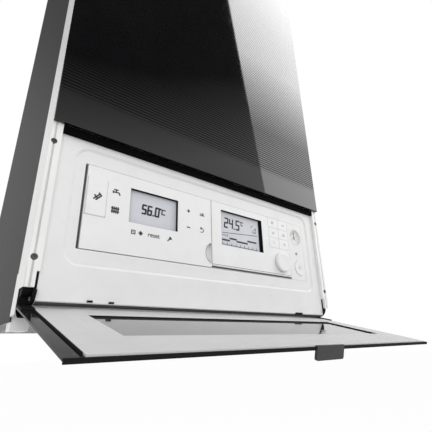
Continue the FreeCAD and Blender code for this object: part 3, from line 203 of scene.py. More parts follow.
def upward_part(tree, vector):
    """The third part of a vector, along Z."""
    parts = tree.nodes.new("ShaderNodeSeparateXYZ")
    tree.links.new(vector, parts.inputs["Vector"])
    return parts.outputs["Z"]


black_glass, tree, shader = new_material("black_glass_lined", roughness=0.03)
shader.inputs["IOR"].default_value = GLASS_IOR
bands = tree.nodes.new("ShaderNodeTexWave")
bands.bands_direction = "Z"
bands.inputs["Scale"].default_value = ONE_BAND_PER_METRE / PRINT_PITCH
tree.links.new(own_place(tree), bands.inputs["Vector"])
height = upward_part(tree, own_place(tree))
fade = ranged(tree, height, SPLIT_Z + PRINT_START, SPLIT_Z + PRINT_FULL, low=0, high=1)
printed = tree.nodes.new("ShaderNodeMath")
printed.operation = "MULTIPLY"
tree.links.new(bands.outputs["Fac"], printed.inputs[0])
tree.links.new(fade, printed.inputs[1])
print_shine = ranged(tree, printed.outputs["Value"], LINE_START, LINE_FULL, GLASS_SHINE, LINE_SHINE)
tree.links.new(print_shine, shader.inputs["Specular IOR Level"])
patchy(tree, shader, 80 * MM, dark=(0.004, 0.004, 0.0045), light=(0.006, 0.006, 0.0065))
uneven_gloss(tree, shader, cloudy(tree, 50 * MM), low=0.02, high=0.04)
dress(black_glass, "front_glass")

# Front rails: extruded profiles with a satin white coat, screwed to the sides.
# Each has a fine groove down its length. The floor panel has the same coat.
# The screws are plated steel, and so is the spindle of the selector.
rail_white = coat("rail_white", (0.86, 0.86, 0.85), roughness=0.34, grain=1.2, relief=0.02, drift=0.03)
dress(rail_white, "left_rail", "right_rail", "bottom_panel")
dress(coat("screw_plate", (0.10, 0.10, 0.10), roughness=0.34, grain=0.6, relief=0.01, metallic=1.0),
      "rail_screws", "selector_spindle")

# Gap strip: a strip that closes the joint between the glass and the control fascia, near black as painted
# shade of that gap.
# It is a plain extruded strip, cut to the width between the rails.
dress(coat("painted_gap_shade", (0.002, 0.002, 0.002), roughness=0.8, grain=0.8, relief=0.03, shine=0.05),
      "gap_seal")

# Control fascia: white moulded plastic with a dished field, clipped between the rails.
# The mould leaves a very fine matt grain. Its lower edge is rolled about the hinge line of the flap.
# Thin black marks near this edge are painted shadow of the fixing hooks.
LIP_RADIUS = 13.22 * MM
LIP_STEPS = 10
HOOK_SHADE_THICK = 0.2 * MM
# Each painted shadow: its middle in x and its width in millimetres, and its two angles on the lip.
HOOK_SHADE_PLACES = ((-163, 5.5, (43, 53)), (-142, 5.5, (41, 51)), (148, 17, (31, 48)))
pins_low, pins_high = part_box("hinge_pins")
PIVOT = Vector((0, (pins_low.y + pins_high.y) / 2, (pins_low.z + pins_high.z) / 2))
fascia_white = coat("fascia_plastic", (0.80, 0.80, 0.80), roughness=0.42, grain=0.7, relief=0.02, drift=0.02)
dress(fascia_white, "control_fascia")
# Near-black finish: the colour of black linings, pads and trims, and also painted shade in gaps, slots and
# recesses.
trim_and_shade_black = coat("black_trim_and_painted_shade", (0.008, 0.008, 0.008), roughness=0.7, grain=0.8, relief=0.02, shine=0.15)


def empty_piece(name):
    """New mesh object with nothing in it yet, in edit mode."""
    bpy.ops.object.select_all(action="DESELECT")
    bpy.ops.object.add(type="MESH")
    piece = bpy.context.object
    piece.name = name
    bpy.ops.object.mode_set(mode="EDIT")
    return piece


def finish_piece(piece, material, body):
    """Turn all faces outwards, leave edit mode, and give the piece its material and body."""
    bpy.ops.mesh.select_all(action="SELECT")
    bpy.ops.mesh.normals_make_consistent(inside=False)
    bpy.ops.object.mode_set(mode="OBJECT")
    piece.data.materials.append(material)
    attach(piece, body)


def lip_piece(name, x, turns, thick, material, inner=LIP_RADIUS):
    """Skin curved about the hinge line, between two x in millimetres and two angles.

    The angles are in degrees, counted from straight down towards the front.
    """
    first, last = (math.radians(turn) for turn in turns)
    piece = empty_piece(name)
    mesh = bmesh.from_edit_mesh(piece.data)
    corners = []
    for radius in (inner, inner + thick):
        y = PIVOT.y - radius * math.sin(first)
        z = PIVOT.z - radius * math.cos(first)
        corners += [mesh.verts.new((end * MM, y, z)) for end in x]
    mesh.faces.new((corners[0], corners[1], corners[3], corners[2]))
    bmesh.update_edit_mesh(piece.data)
    bpy.ops.mesh.select_all(action="SELECT")
    bpy.ops.mesh.spin(steps=LIP_STEPS, angle=last - first, center=PIVOT, axis=(1, 0, 0))
    finish_piece(piece, material, "casing")


for number, (hook_x, width, turns) in enumerate(HOOK_SHADE_PLACES, start=1):
    hook_span = (hook_x - width / 2, hook_x + width / 2)
    lip_piece("hook_slot_%d" % number, hook_span, turns, HOOK_SHADE_THICK, trim_and_shade_black)

# Painted shade in the groove round the controllers: grey strips laid on the floor of the inset.
# They paint the shade as a dark line at the left and under the plates, and a paler one right under the room
# controller.
INSET_LEFT_GAP = 3.0 * MM
INSET_BOTTOM_GAP = 1.0 * MM
SHADE_STRIP_THICK = 2.4 * MM
SHADE_STRIP_CLEAR = 0.05 * MM
SHADE_STRIP_RISE = 0.6 * MM
SHADE_STRIP_EDGE = 0.2 * MM
MODULE_SHADE_TALL = 0.7 * MM
plate_low, plate_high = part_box("base_controller")
module_low, module_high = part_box("room_controller")
inset_left = plate_low.x - INSET_LEFT_GAP
inset_bottom = plate_low.z - INSET_BOTTOM_GAP
# A dark and a pale grey that paint shade; the dark one also paints the band under the fascia's lip.
shade_grey = coat("painted_shade_grey", (0.10, 0.10, 0.10), roughness=0.85, grain=0.8, relief=0.04, shine=0.1)
pale_shade_grey = coat("pale_painted_shade", (0.20, 0.20, 0.20), roughness=0.85, grain=0.8, relief=0.04, shine=0.1)


def block(name, x, y, z, edge, material, body):
    """Solid bar between two limits along each axis, with its edges rounded off."""
    low, high = (Vector(corner) for corner in zip(x, y, z))
    bpy.ops.object.select_all(action="DESELECT")
    bpy.ops.mesh.primitive_cube_add(size=1, location=(low + high) / 2)
    piece = bpy.context.object
    piece.name = name
    piece.scale = high - low
    bpy.ops.object.transform_apply(location=True, rotation=False, scale=True)
    bpy.ops.object.mode_set(mode="EDIT")
    bpy.ops.mesh.select_all(action="SELECT")
    bpy.ops.mesh.bevel(offset=edge, segments=2)
    finish_piece(piece, material, body)
    return piece


inset_shades = (
    ("left_inset_shade", shade_grey,
     (inset_left + SHADE_STRIP_CLEAR, plate_low.x - SHADE_STRIP_CLEAR), (inset_bottom + SHADE_STRIP_RISE, plate_high.z)),
    ("bottom_inset_shade", shade_grey,
     (plate_low.x, module_high.x), (inset_bottom + SHADE_STRIP_CLEAR, plate_low.z - SHADE_STRIP_CLEAR)),
    ("module_underside_shade", pale_shade_grey,
     (module_low.x, module_high.x), (module_low.z - MODULE_SHADE_TALL, module_low.z - SHADE_STRIP_CLEAR)),
)
inset_shade_y = (plate_high.y - SHADE_STRIP_THICK, plate_high.y)
for name, material, x, z in inset_shades:
    block(name, x, inset_shade_y, z, SHADE_STRIP_EDGE, material, "casing")

# Painted shade in the rail grooves: thin grey strips on the floor of each groove.
# They stop short of the screw heads and of the ends of the groove.
INK_PROUD = 0.05 * MM
ROUND_ENDS = 10
GROOVE_INSET = 4.0 * MM
GROOVE_SINK = 0.98 * MM
GROOVE_WIDTH = 1.8
GROOVE_TOP_GAP = 1.5
GROOVE_BOTTOM = 164.8
SCREW_HEAD = 6.0
SCREW_CLEAR = 1.5


def beside(place, right, down):
    """Point some millimetres to the right of a place and below it."""
    return place + Vector((right * MM, 0, -down * MM))


def strokes(name, lines, width, origin, material, body, ends=ROUND_ENDS):
    """Flat bars between pairs of points on a face that looks forward.

    A point is its x and its drop from the origin, and these and the width are in millimetres.
    A bar with six-sided ends is a display segment. A bar of no length is a dot.
    """
    piece = empty_piece(name)
    bpy.context.tool_settings.mesh_select_mode = (True, False, False)
    for x0, drop0, x1, drop1 in lines:
        start = beside(origin, x0, drop0)
        reach = beside(origin, x1, drop1) - start
        bpy.ops.mesh.select_all(action="DESELECT")
        bpy.ops.mesh.primitive_circle_add(
            vertices=ends, radius=width * MM / 2, fill_type="NGON", location=start,
            rotation=(math.pi / 2, math.atan2(reach.x, reach.z), 0))
        if reach.length > 0:
            mesh = bmesh.from_edit_mesh(piece.data)
            for vertex in mesh.verts:
                if vertex.select and (vertex.co - start).dot(reach) <= 0:
                    vertex.select = False
            mesh.select_flush_mode()
            bmesh.update_edit_mesh(piece.data)
            bpy.ops.transform.translate(value=reach)
    bpy.ops.mesh.select_all(action="SELECT")
    bpy.ops.mesh.extrude_region_move(TRANSFORM_OT_translate={"value": (0, -INK_PROUD, 0)})
    finish_piece(piece, material, body)


rail_low, rail_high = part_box("right_rail")
screws_low, screws_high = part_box("rail_screws")
groove_top = (SPLIT_Z - rail_high.z) / MM + GROOVE_TOP_GAP
screws_top = (SPLIT_Z - screws_high.z) / MM
screws_bottom = (SPLIT_Z - screws_low.z) / MM
groove_spans = (
    (groove_top, screws_top - SCREW_CLEAR),
    (screws_top + SCREW_HEAD + SCREW_CLEAR, screws_bottom - SCREW_HEAD - SCREW_CLEAR),
    (screws_bottom + SCREW_CLEAR, GROOVE_BOTTOM),
)
groove_shade_bars = [(0, top, 0, bottom) for top, bottom in groove_spans]
groove_shade_grey = coat("groove_shadow", (0.62, 0.62, 0.62), roughness=0.7, grain=0.8, relief=0.02)
for side, sign in (("left", -1), ("right", 1)):
    origin = Vector((sign * (rail_high.x - GROOVE_INSET), rail_low.y + GROOVE_SINK, SPLIT_Z))
    strokes(side + "_groove_painted_shade", groove_shade_bars, GROOVE_WIDTH, origin, groove_shade_grey, "casing")

# Base controller: white plate with a sunk display and printed symbols, clipped into the inset.
# The display is a liquid-crystal cell in a black lining. Signs are pad-printed in dark ink.
controller_white = coat("controller_plastic", (0.83, 0.83, 0.83), roughness=0.36, grain=0.6, relief=0.012,
                        drift=0.02)
dress(controller_white, "base_controller", "room_controller", "service_key")
cell_glass, tree, shader = new_material("display_cell", roughness=0.16)
patchy(tree, shader, 30 * MM, dark=(0.61, 0.62, 0.67), light=(0.66, 0.67, 0.72))
uneven_gloss(tree, shader, cloudy(tree, 4 * MM), low=0.12, high=0.2)
dress(cell_glass, "base_display", "room_display")
ink = coat("dark_ink", (0.03, 0.03, 0.035), roughness=0.5, grain=0.4, relief=0.004)
crystal_ink = coat("display_segment", (0.02, 0.02, 0.03), roughness=0.35, grain=0.4, relief=0.002)
LINING_REACH = 0.36 * MM
LINING_WALL = 0.14 * MM
LINING_SINK = 0.05 * MM


def lining(name, display):
    """Thin black wall round a display, from the cell up to the face of the plate."""
    low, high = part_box(display)
    middle = (low + high) / 2
    rise = plate_low.y - low.y + LINING_SINK
    bpy.ops.object.select_all(action="DESELECT")
    bpy.ops.mesh.primitive_plane_add(
        size=1, location=(middle.x, low.y, middle.z), rotation=(math.pi / 2, 0, 0))
    piece = bpy.context.object
    piece.name = name
    piece.scale = (high.x - low.x + LINING_REACH, high.z - low.z + LINING_REACH, 1)
    bpy.ops.object.transform_apply(location=True, rotation=True, scale=True)
    bpy.ops.object.mode_set(mode="EDIT")
    bpy.ops.mesh.select_all(action="SELECT")
    bpy.ops.mesh.inset(thickness=LINING_WALL, depth=0)
    bpy.ops.mesh.delete(type="FACE")
    bpy.ops.mesh.select_all(action="SELECT")
    bpy.ops.mesh.extrude_region_move(TRANSFORM_OT_translate={"value": (0, rise, 0)})
    finish_piece(piece, trim_and_shade_black, "casing")


def top_left(node):
    """Upper left corner on the front of a node's box."""
    low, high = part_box(node)
    return Vector((low.x, low.y, high.z))


SEGMENTS = {
    "a": (0, 0, 1, 0), "b": (1, 0, 1, 1), "c": (1, 1, 1, 2), "d": (0, 2, 1, 2),
    "e": (0, 1, 0, 2), "f": (0, 0, 0, 1), "g": (0, 1, 1, 1),
}
DIGITS = {"0": "abcdef", "2": "abged", "4": "fgbc", "5": "afgcd", "6": "afgedc", "C": "afed", "o": "abgf"}
SEGMENT_ENDS = 6
DIGIT_GAP_SHARE = 0.035
DIGIT_LEAN_SHARE = 0.09
DIGIT_WIDTH_SHARE = 0.42
DIGIT_PITCH_SHARE = 0.68
POINT_SPACE_SHARE = 0.26
POINT_BACK_SHARE = 0.25
UNIT_SPACE_SHARE = 0.30
UNIT_LOWER_SHARE = 0.12
UNIT_WIDTH_SHARE = 0.75
UNIT_STROKE_SHARE = 0.3
DEGREE_BACK_SHARE = 0.05
DEGREE_WIDTH_SHARE = 0.12
DEGREE_TALL_SHARE = 0.26


def digit(sign, left, top, width, tall):
    """Segment bars of one display digit that leans to the right, with its corner at left and top."""
    gap = tall * DIGIT_GAP_SHARE
    bars = []
    for segment in DIGITS[sign]:
        x0, z0, x1, z1 = SEGMENTS[segment]
        across, down = (x1 - x0) * gap, (z1 - z0) * gap
        lean0 = (1 - z0 / 2) * DIGIT_LEAN_SHARE * tall
        lean1 = (1 - z1 / 2) * DIGIT_LEAN_SHARE * tall
        bars.append((left + x0 * width + across + lean0, top + z0 * tall / 2 + down,
                     left + x1 * width - across + lean1, top + z1 * tall / 2 - down))
    return bars


def reading(name, signs, display, left, top, tall, weight, unit_share):
    """Three display digits with a point before the last one, and a small degree sign and C.

    The left and the top are in millimetres from the corner of the display.
    """
    corner = top_left(display)
    pitch = tall * DIGIT_PITCH_SHARE
    places = (left, left + pitch, left + 2 * pitch + tall * POINT_SPACE_SHARE)
    bars = []
    for place, sign in zip(places, signs):
        bars += digit(sign, place, top, tall * DIGIT_WIDTH_SHARE, tall)
    point_x = places[2] - tall * POINT_BACK_SHARE
    bars.append((point_x, top + tall, point_x, top + tall))
    strokes(name + "_digits", bars, tall * weight, corner, crystal_ink, "casing",
            ends=SEGMENT_ENDS)
    unit_x = places[2] + pitch
    unit_tall = tall * unit_share
    unit = digit("C", unit_x + unit_tall * UNIT_SPACE_SHARE, top + unit_tall * UNIT_LOWER_SHARE,
                 unit_tall * UNIT_WIDTH_SHARE, unit_tall)
    unit += digit("o", unit_x - unit_tall * DEGREE_BACK_SHARE, top,
                  unit_tall * DEGREE_WIDTH_SHARE, unit_tall * DEGREE_TALL_SHARE)
    strokes(name + "_unit", unit, unit_tall * UNIT_STROKE_SHARE, corner, crystal_ink, "casing")


lining("base_display_lining", "base_display")
reading("base_reading", "560", "base_display", left=16.87, top=14.9, tall=10.5, weight=0.25, unit_share=0.54)

BOLD_WIDTH = 1.6
FINE_WIDTH = 1.1
# Each sign: its stroke, its place from the corner of the plate, and its bars about that place.
base_signs = (
    ("tap_sign", BOLD_WIDTH, (32.3, 24.2),
     ((-3.2, 0, 3.4, 0), (3.4, 0, 4.4, 2.4), (0, 0, 0, -2.8), (-2, -3, 2, -3), (-3.2, -1, -3.2, 1))),
    ("radiator_sign", BOLD_WIDTH, (32.8, 44.9),
     ((-3.3, -3.3, -3.3, 3.3), (-1.1, -3.3, -1.1, 3.3), (1.1, -3.3, 1.1, 3.3), (3.3, -3.3, 3.3, 3.3),
      (-3.9, -1.7, 3.9, -1.7), (-3.9, 1.7, 3.9, 1.7))),
    ("plus_sign", BOLD_WIDTH, (128.3, 24.0), ((-1.6, 0, 1.6, 0), (0, -1.6, 0, 1.6))),
    ("minus_sign", BOLD_WIDTH, (128.2, 45.8), ((-1.9, 0, 1.9, 0),)),
    ("spanner_sign", BOLD_WIDTH, (101.5, 65.6),
     ((-2.4, 2.4, 0.4, -0.2), (0, 0, 0.4, -2.2), (0, 0, 2.4, -0.2), (0.4, -2.2, 2.4, -0.2))),
    ("back_sign", FINE_WIDTH, (149.0, 45.2),
     ((-2.5, -1.8, 0.7, -1.8), (0.7, -1.8, 2.5, -0.4), (2.5, -0.4, 2.5, 1.6), (2.5, 1.6, 0.7, 3.2),
      (0.7, 3.2, -1.9, 3.2), (-2.5, -1.8, -0.7, -3.2), (-2.5, -1.8, -0.7, -0.4))),
    ("sun_sign", FINE_WIDTH, (64.2, 65.4),
     ((0, -2.4, 0, 2.4), (-2.4, 0, 2.4, 0), (-1.4, -1.4, 1.4, 1.4), (1.4, -1.4, -1.4, 1.4))),
    ("frame_sign", FINE_WIDTH, (55.3, 65.4),
     ((-2.1, -2, 2.1, -2), (2.1, -2, 2.1, 2), (2.1, 2, -2.1, 2), (-2.1, 2, -2.1, -2), (-0.8, 0, 0.8, 0))),
)
base_corner = top_left("base_controller")
for name, width, place, lines in base_signs:
    strokes(name, lines, width, beside(base_corner, *place), ink, "casing")

LETTER_SWELL_SHARE = 0.02
BOLD_SWELL_SHARE = 0.04


def lettering(name, words, place, tall, swell=LETTER_SWELL_SHARE):
    """Small printed word or number, centred on a point of a face that looks forward."""
    bpy.ops.object.select_all(action="DESELECT")
    bpy.ops.object.text_add()
    text = bpy.context.object
    text.name = name
    text.data.body = words
    text.data.size = tall * MM
    text.data.extrude = INK_PROUD / 2
    text.data.offset = tall * swell * MM
    text.data.align_x = "CENTER"
    text.data.align_y = "CENTER"
    bpy.ops.object.convert(target="MESH")
    piece = bpy.context.object
    piece.location = place - Vector((0, INK_PROUD / 2, 0))
    piece.rotation_euler = (math.pi / 2, 0, 0)
    bpy.ops.object.transform_apply(location=True, rotation=True, scale=True)
    piece.data.materials.clear()
    piece.data.materials.append(ink)
    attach(piece, "casing")


lettering("reset_word", "reset", beside(base_corner, right=80.5, down=65.2), tall=7.4)
lettering("ok_word", "ok", beside(base_corner, right=149.2, down=24.4), tall=6.8, swell=BOLD_SWELL_SHARE)

# Service key: outlined white key at the left of the base controller, sprung from behind.
# A brush sign is printed on its cap.
BRUSH_WIDTH = 1.8
BRUSH = ((-4, 2.9, 1.6, -2.7), (-1.6, 3.7, 3.6, -1.5), (-3.4, -1.1, -0.6, 1.7), (1.2, -4.1, 3.4, -1.9))
OUTLINE_WIDTH = 0.7
OUTLINE_GAP = 0.6


def front_middle(node):
    """Middle of the front of a node's box."""
    low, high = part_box(node)
    return Vector(((low.x + high.x) / 2, low.y, (low.z + high.z) / 2))


brush_place = beside(front_middle("service_key"), right=1.09, down=-0.45)
strokes("service_key_sign", BRUSH, BRUSH_WIDTH, brush_place, ink, "service_key")
key_low, key_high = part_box("service_key")
outline_right = (key_high.x - key_low.x) / MM + OUTLINE_GAP
outline_bottom = (key_high.z - key_low.z) / MM + OUTLINE_GAP
outline = (
    (-OUTLINE_GAP, -OUTLINE_GAP, -OUTLINE_GAP, outline_bottom),
    (-OUTLINE_GAP, outline_bottom, outline_right, outline_bottom),
    (outline_right, outline_bottom, outline_right, -OUTLINE_GAP),
)
outline_corner = Vector((key_low.x, plate_low.y, key_high.z))
pale_ink = coat("pale_ink", (0.60, 0.60, 0.60), roughness=0.5, grain=0.4, relief=0.004)
strokes("service_key_outline", outline, OUTLINE_WIDTH, outline_corner, pale_ink, "casing")

# Room controller: plug-in white module with a larger display, six keys and a selector.
# The display shows a room reading, a few small signs and a row of schedule bars over an hour scale.
JOINT_WIDTH = 0.8
JOINT_RISE = 1.9
NOTCH_RADIUS = 14.7
NOTCH_X = 5.1
NOTCH_DROP = 73.8
NOTCH_TURNS = (207, 333)
# Bars of the display, in millimetres from its upper left corner.
SCHEDULE_WIDTH = 2.9
SCHEDULE = ((5, 40.5, 17, 40.5), (18.5, 37.1, 30, 37.1), (31.5, 39.5, 51, 39.5), (52.5, 35.7, 69, 35.7))
HAIR_WIDTH = 0.9
HAIR_LINES = ((4.4, 46.9, 72, 46.9), (5.4, 30.5, 72, 24.5))
HOUR_COUNT = 9
HOUR_LEFT = 5.0
HOUR_PITCH = 8.1
HOUR_DROPS = (43.9, 46.7)
SMALL_SIGNS = ((5, 33.7, 12, 33.7), (14, 32.3, 14, 35.1), (60, 13.1, 64, 10.1), (64, 20.7, 70, 20.7),
               (66, 17.1, 71, 12.7))
MASK_WIDTH = 3.6 * MM
MASK_THICK = 0.1 * MM
FINE_EDGE = 0.02 * MM
KEY_SIGN_WIDTH = 0.8


def on_circle(radius, turn):
    """Point on a circle as x and drop from its middle, at an angle in degrees clockwise from the top."""
    angle = math.radians(turn)
    return radius * math.sin(angle), -radius * math.cos(angle)


def arc_lines(radius, start=0, end=360, steps=16, x=0, drop=0):
    """Short bars along an arc about a point."""
    points = []
    for step in range(steps + 1):
        right, down = on_circle(radius, start + (end - start) * step / steps)
        points.append((x + right, drop + down))
    return [(*a, *b) for a, b in zip(points, points[1:])]


lining("room_display_lining", "room_display")
grey_ink = coat("grey_ink", (0.26, 0.26, 0.27), roughness=0.5, grain=0.4, relief=0.004)
module_wide = (module_high.x - module_low.x) / MM
module_tall = (module_high.z - module_low.z) / MM
joint_x = JOINT_WIDTH / 2
joint_drop = module_tall - JOINT_RISE
joint = [
    (joint_x, JOINT_WIDTH, joint_x, module_tall - JOINT_WIDTH),
    (joint_x, joint_drop, module_wide - JOINT_WIDTH, joint_drop),
]
joint += arc_lines(NOTCH_RADIUS, *NOTCH_TURNS, x=NOTCH_X, drop=NOTCH_DROP)
strokes("joint_lines", joint, JOINT_WIDTH, top_left("room_controller"), grey_ink, "casing")
reading("room_reading", "245", "room_display", left=9.0, top=8.7, tall=13.1, weight=0.21, unit_share=0.36)
room_corner = top_left("room_display")
strokes("schedule_bars", SCHEDULE, SCHEDULE_WIDTH, room_corner, crystal_ink, "casing",
        ends=SEGMENT_ENDS)
hours = [*HAIR_LINES]
for step in range(HOUR_COUNT):
    hour_x = HOUR_LEFT + HOUR_PITCH * step
    hours.append((hour_x, HOUR_DROPS[0], hour_x, HOUR_DROPS[1]))
hours += SMALL_SIGNS
hours += arc_lines(radius=3.6, start=20, end=250, steps=9, x=66.4, drop=17.1)
strokes("schedule_hours", hours, HAIR_WIDTH, room_corner, crystal_ink, "casing")
room_low, room_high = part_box("room_display")
block("room_display_mask", (room_high.x - MASK_WIDTH, room_high.x), (room_low.y - MASK_THICK, room_low.y),
      (room_low.z, room_high.z), FINE_EDGE, trim_and_shade_black, "casing")

# Each key has its sign drawn about the middle of its cap.
key_signs = {
    "top_left_key": [*arc_lines(radius=1.8, steps=10, x=-0.6, drop=-0.2), (-0.6, -0.2, -0.6, -1.4)],
    "top_right_key": [(-1.8, -0.2, 4.2, -0.2), (2.2, -1.8, 4.2, -0.2), (2.2, 1.4, 4.2, -0.2)],
    "middle_left_key": arc_lines(radius=1.8, start=40, end=300, steps=8, x=-0.2, drop=-0.2),
    "middle_right_key": [(-1.6, 1.4, 1.2, -2.2), (1.2, -2.2, 4, 1.4), (-0.6, 1.6, 3, 1.6)],
    "bottom_left_key": [(0, -1.6, 0, 1.4), (0, -3.2, 0, -3.2)],
    "bottom_right_key": [(3.4, -2.6, -0.8, -0.7), (-0.8, -0.7, 3.4, 1.2)],
}
dress(controller_white, *key_signs)
for name, lines in key_signs.items():
    strokes(name + "_sign", lines, KEY_SIGN_WIDTH, front_middle(name), grey_ink, name)

# Selector knob: white moulded knob with a shallow finger dish, turning on a steel spindle.
# It is turned about its axis from one profile, and stands in for the plain knob of the frame.
KNOB_PROFILE_SHARES = (
    (0.0, 0.16), (0.35, 0.13), (0.66, 0.07), (0.82, 0.0), (0.92, 0.02), (0.98, 0.12), (1.0, 0.30),
    (1.0, 1.0), (0.0, 1.0),
)
TURN_STEPS = 64
MERGE_GAP = 0.002 * MM
SMOOTH_ANGLE = math.radians(32)


def turned(name, profile, centre, material, body):
    """Solid turned about an axis along Y through centre, from (radius, y) points."""
    piece = empty_piece(name)
    mesh = bmesh.from_edit_mesh(piece.data)
    corners = [mesh.verts.new((centre.x + radius, y, centre.z)) for radius, y in profile]
    for first, second in zip(corners, corners[1:]):
        mesh.edges.new((first, second))
    bmesh.update_edit_mesh(piece.data)
    bpy.ops.mesh.select_all(action="SELECT")
    bpy.ops.mesh.spin(steps=TURN_STEPS, angle=math.tau, center=centre, axis=(0, 1, 0))
    bpy.ops.mesh.select_all(action="SELECT")
    bpy.ops.mesh.remove_doubles(threshold=MERGE_GAP)
    finish_piece(piece, material, body)
    bpy.ops.object.shade_smooth_by_angle(angle=SMOOTH_ANGLE)
    return piece


knob_low, knob_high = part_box("selector_knob")
knob_middle = (knob_low + knob_high) / 2
knob_radius = (knob_high.x - knob_low.x) / 2
knob_depth = knob_high.y - knob_low.y
knob_white = coat("knob_plastic", (0.82, 0.82, 0.82), roughness=0.33, grain=0.6, relief=0.01, drift=0.02)
knob_profile = [(share * knob_radius, knob_low.y + back * knob_depth) for share, back in KNOB_PROFILE_SHARES]
knob = turned("knob_cap", knob_profile, knob_middle, knob_white, "selector_knob")
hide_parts("selector_knob")

# Pressure gauge: pale cup with a white printed dial, a needle and a clear lens.
# The dial has a tick for every half bar, numbers for whole ones and a green working band.
LENS_ALPHA_SHARE = 0.14
DIAL_SINK = 3.2 * MM
DIAL_RADIUS = 12.0 * MM
DIAL_HOLE = 1.2 * MM
DIAL_THICK = 0.1 * MM
SCALE_SWING = 120
HALF_BARS = 8
WHOLE_TICK_RADIUS = 9.0
HALF_TICK_RADIUS = 10.0
TICK_END_RADIUS = 11.4
TICK_WIDTH = 0.45
BAND_RADIUS = 8.2
BAND_WIDTH = 0.9
NUMBER_RADIUS = 6.3
NUMBER_TALL = 3.0
dress(coat("gauge_case_plastic", (0.80, 0.80, 0.79), roughness=0.35, grain=0.6, relief=0.01, drift=0.02),
      "gauge_case")
dress(coat("needle_black", (0.02, 0.02, 0.02), roughness=0.4, grain=0.6, relief=0.01), "gauge_needle")
lens, tree, shader = new_material("clear_lens", roughness=0.02)
shader.inputs["Alpha"].default_value = LENS_ALPHA_SHARE
patchy(tree, shader, 10 * MM, dark=(0.97, 0.98, 0.98), light=(1.0, 1.0, 1.0))
dress(lens, "gauge_lens")
dial_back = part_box("gauge_lens")[0].y + DIAL_SINK
dial_face = dial_back - DIAL_THICK
dial_middle = front_middle("gauge_case")
dial_middle.y = dial_face
dial_white = coat("dial_card", (0.84, 0.84, 0.82), roughness=0.5, grain=0.5, relief=0.004, drift=0.02)
dial_profile = (
    (DIAL_HOLE, dial_back), (DIAL_HOLE, dial_face), (DIAL_RADIUS, dial_face), (DIAL_RADIUS, dial_back),
    (DIAL_HOLE, dial_back),
)
turned("gauge_dial", dial_profile, dial_middle, dial_white, "casing")
ticks = []
for step in range(HALF_BARS + 1):
    turn = SCALE_SWING * (2 * step / HALF_BARS - 1)
    inner = WHOLE_TICK_RADIUS if step % 2 == 0 else HALF_TICK_RADIUS
    ticks.append((*on_circle(inner, turn), *on_circle(TICK_END_RADIUS, turn)))
strokes("dial_ticks", ticks, TICK_WIDTH, dial_middle, ink, "casing")
band = arc_lines(BAND_RADIUS, start=-60, end=0, steps=8)
band_green = coat("dial_green", (0.10, 0.38, 0.14), roughness=0.5, grain=0.5, relief=0.004)
strokes("dial_band", band, BAND_WIDTH, dial_middle, band_green, "casing")
for bar in range(HALF_BARS // 2 + 1):
    turn = SCALE_SWING * (4 * bar / HALF_BARS - 1)
    place = beside(dial_middle, *on_circle(NUMBER_RADIUS, turn))
    lettering("dial_number_%d" % bar, str(bar), place, NUMBER_TALL)

# Status lamp and on/off switch: a cloudy grey-green lens and a white push button with a printed sign.
# Both are pushed through holes in the fascia from behind.
LAMP_SCATTER_SHARE = 0.2
SWITCH_DISH = 0.4 * MM
SWITCH_SIGN_WIDTH = 0.6
lamp_lens, tree, shader = new_material("lamp_lens", roughness=0.15)
shader.inputs["Subsurface Weight"].default_value = LAMP_SCATTER_SHARE
patchy(tree, shader, 2 * MM, dark=(0.30, 0.34, 0.30), light=(0.38, 0.42, 0.38))
dress(lamp_lens, "status_lamp")
dress(knob_white, "power_switch", "selector_knob")
switch_sign = [*arc_lines(radius=2.6, start=35, end=325, steps=12), (0, -3.4, 0, 0)]
switch_face = front_middle("power_switch") + Vector((0, SWITCH_DISH, 0))
strokes("switch_sign", switch_sign, SWITCH_SIGN_WIDTH, switch_face, grey_ink, "power_switch")

# Control box and board: grey moulded tray behind the fascia, with a green circuit board on posts.
# The sump, the fan and its housing, the water block and the pump rotor are of the same plastic.
dress(coat("box_plastic", (0.11, 0.11, 0.12), roughness=0.5, grain=1.0, relief=0.03),
      "control_box", "condensate_sump", "fan_housing", "hydraulic_block", "fan_impeller", "pump_rotor")
dress(coat("board_green", (0.03, 0.16, 0.07), roughness=0.4, grain=2.0, relief=0.03, drift=0.2), "main_board")

# Flap: a dark glass leaf with a pale moulded frame on its inside, a grey mirror and a pull tab.
# The outer face of the leaf is polished, its edges and back are ground dull.
# It hangs on two black arms that turn about blackened pins behind the rails, and stands open here.
FACING_POLISHED = -0.8
FACING_GROUND = -0.6
POLISHED_SHINE = 0.5
GROUND_SHINE = 0.03
plain_glass, tree, shader = new_material("black_glass_plain", roughness=0.03)
shader.inputs["IOR"].default_value = GLASS_IOR
patchy(tree, shader, 80 * MM, dark=(0.010, 0.010, 0.011), light=(0.016, 0.016, 0.017))
uneven_gloss(tree, shader, cloudy(tree, 50 * MM), low=0.03, high=0.06)
facing = upward_part(tree, tree.nodes.new("ShaderNodeTexCoord").outputs["Normal"])
ground = ranged(tree, facing, FACING_POLISHED, FACING_GROUND, POLISHED_SHINE, GROUND_SHINE)
tree.links.new(ground, shader.inputs["Specular IOR Level"])
dress(plain_glass, "flap_glass")
dress(coat("flap_plastic", (0.62, 0.62, 0.62), roughness=0.38, grain=0.8, relief=0.02, drift=0.03),
      "flap_frame")
mirror, tree, shader = new_material("grey_mirror", roughness=0.06, metallic=1.0)
patchy(tree, shader, 50 * MM, dark=(0.215, 0.215, 0.22), light=(0.25, 0.25, 0.255))
uneven_gloss(tree, shader, cloudy(tree, 10 * MM), low=0.05, high=0.09)
dress(mirror, "flap_mirror")
dress(coat("tab_plastic", (0.03, 0.03, 0.031), roughness=0.45, grain=0.8, relief=0.02), "flap_pull_tab")
dress(coat("hinge_plastic", (0.005, 0.005, 0.005), roughness=0.6, grain=0.8, relief=0.02, shine=0.15),
      "left_hinge_arm", "right_hinge_arm", "left_hinge_bracket", "right_hinge_bracket")
dress(coat("blackened_steel", (0.02, 0.02, 0.02), roughness=0.55, grain=0.6, relief=0.01, shine=0.3),
      "hinge_pins")
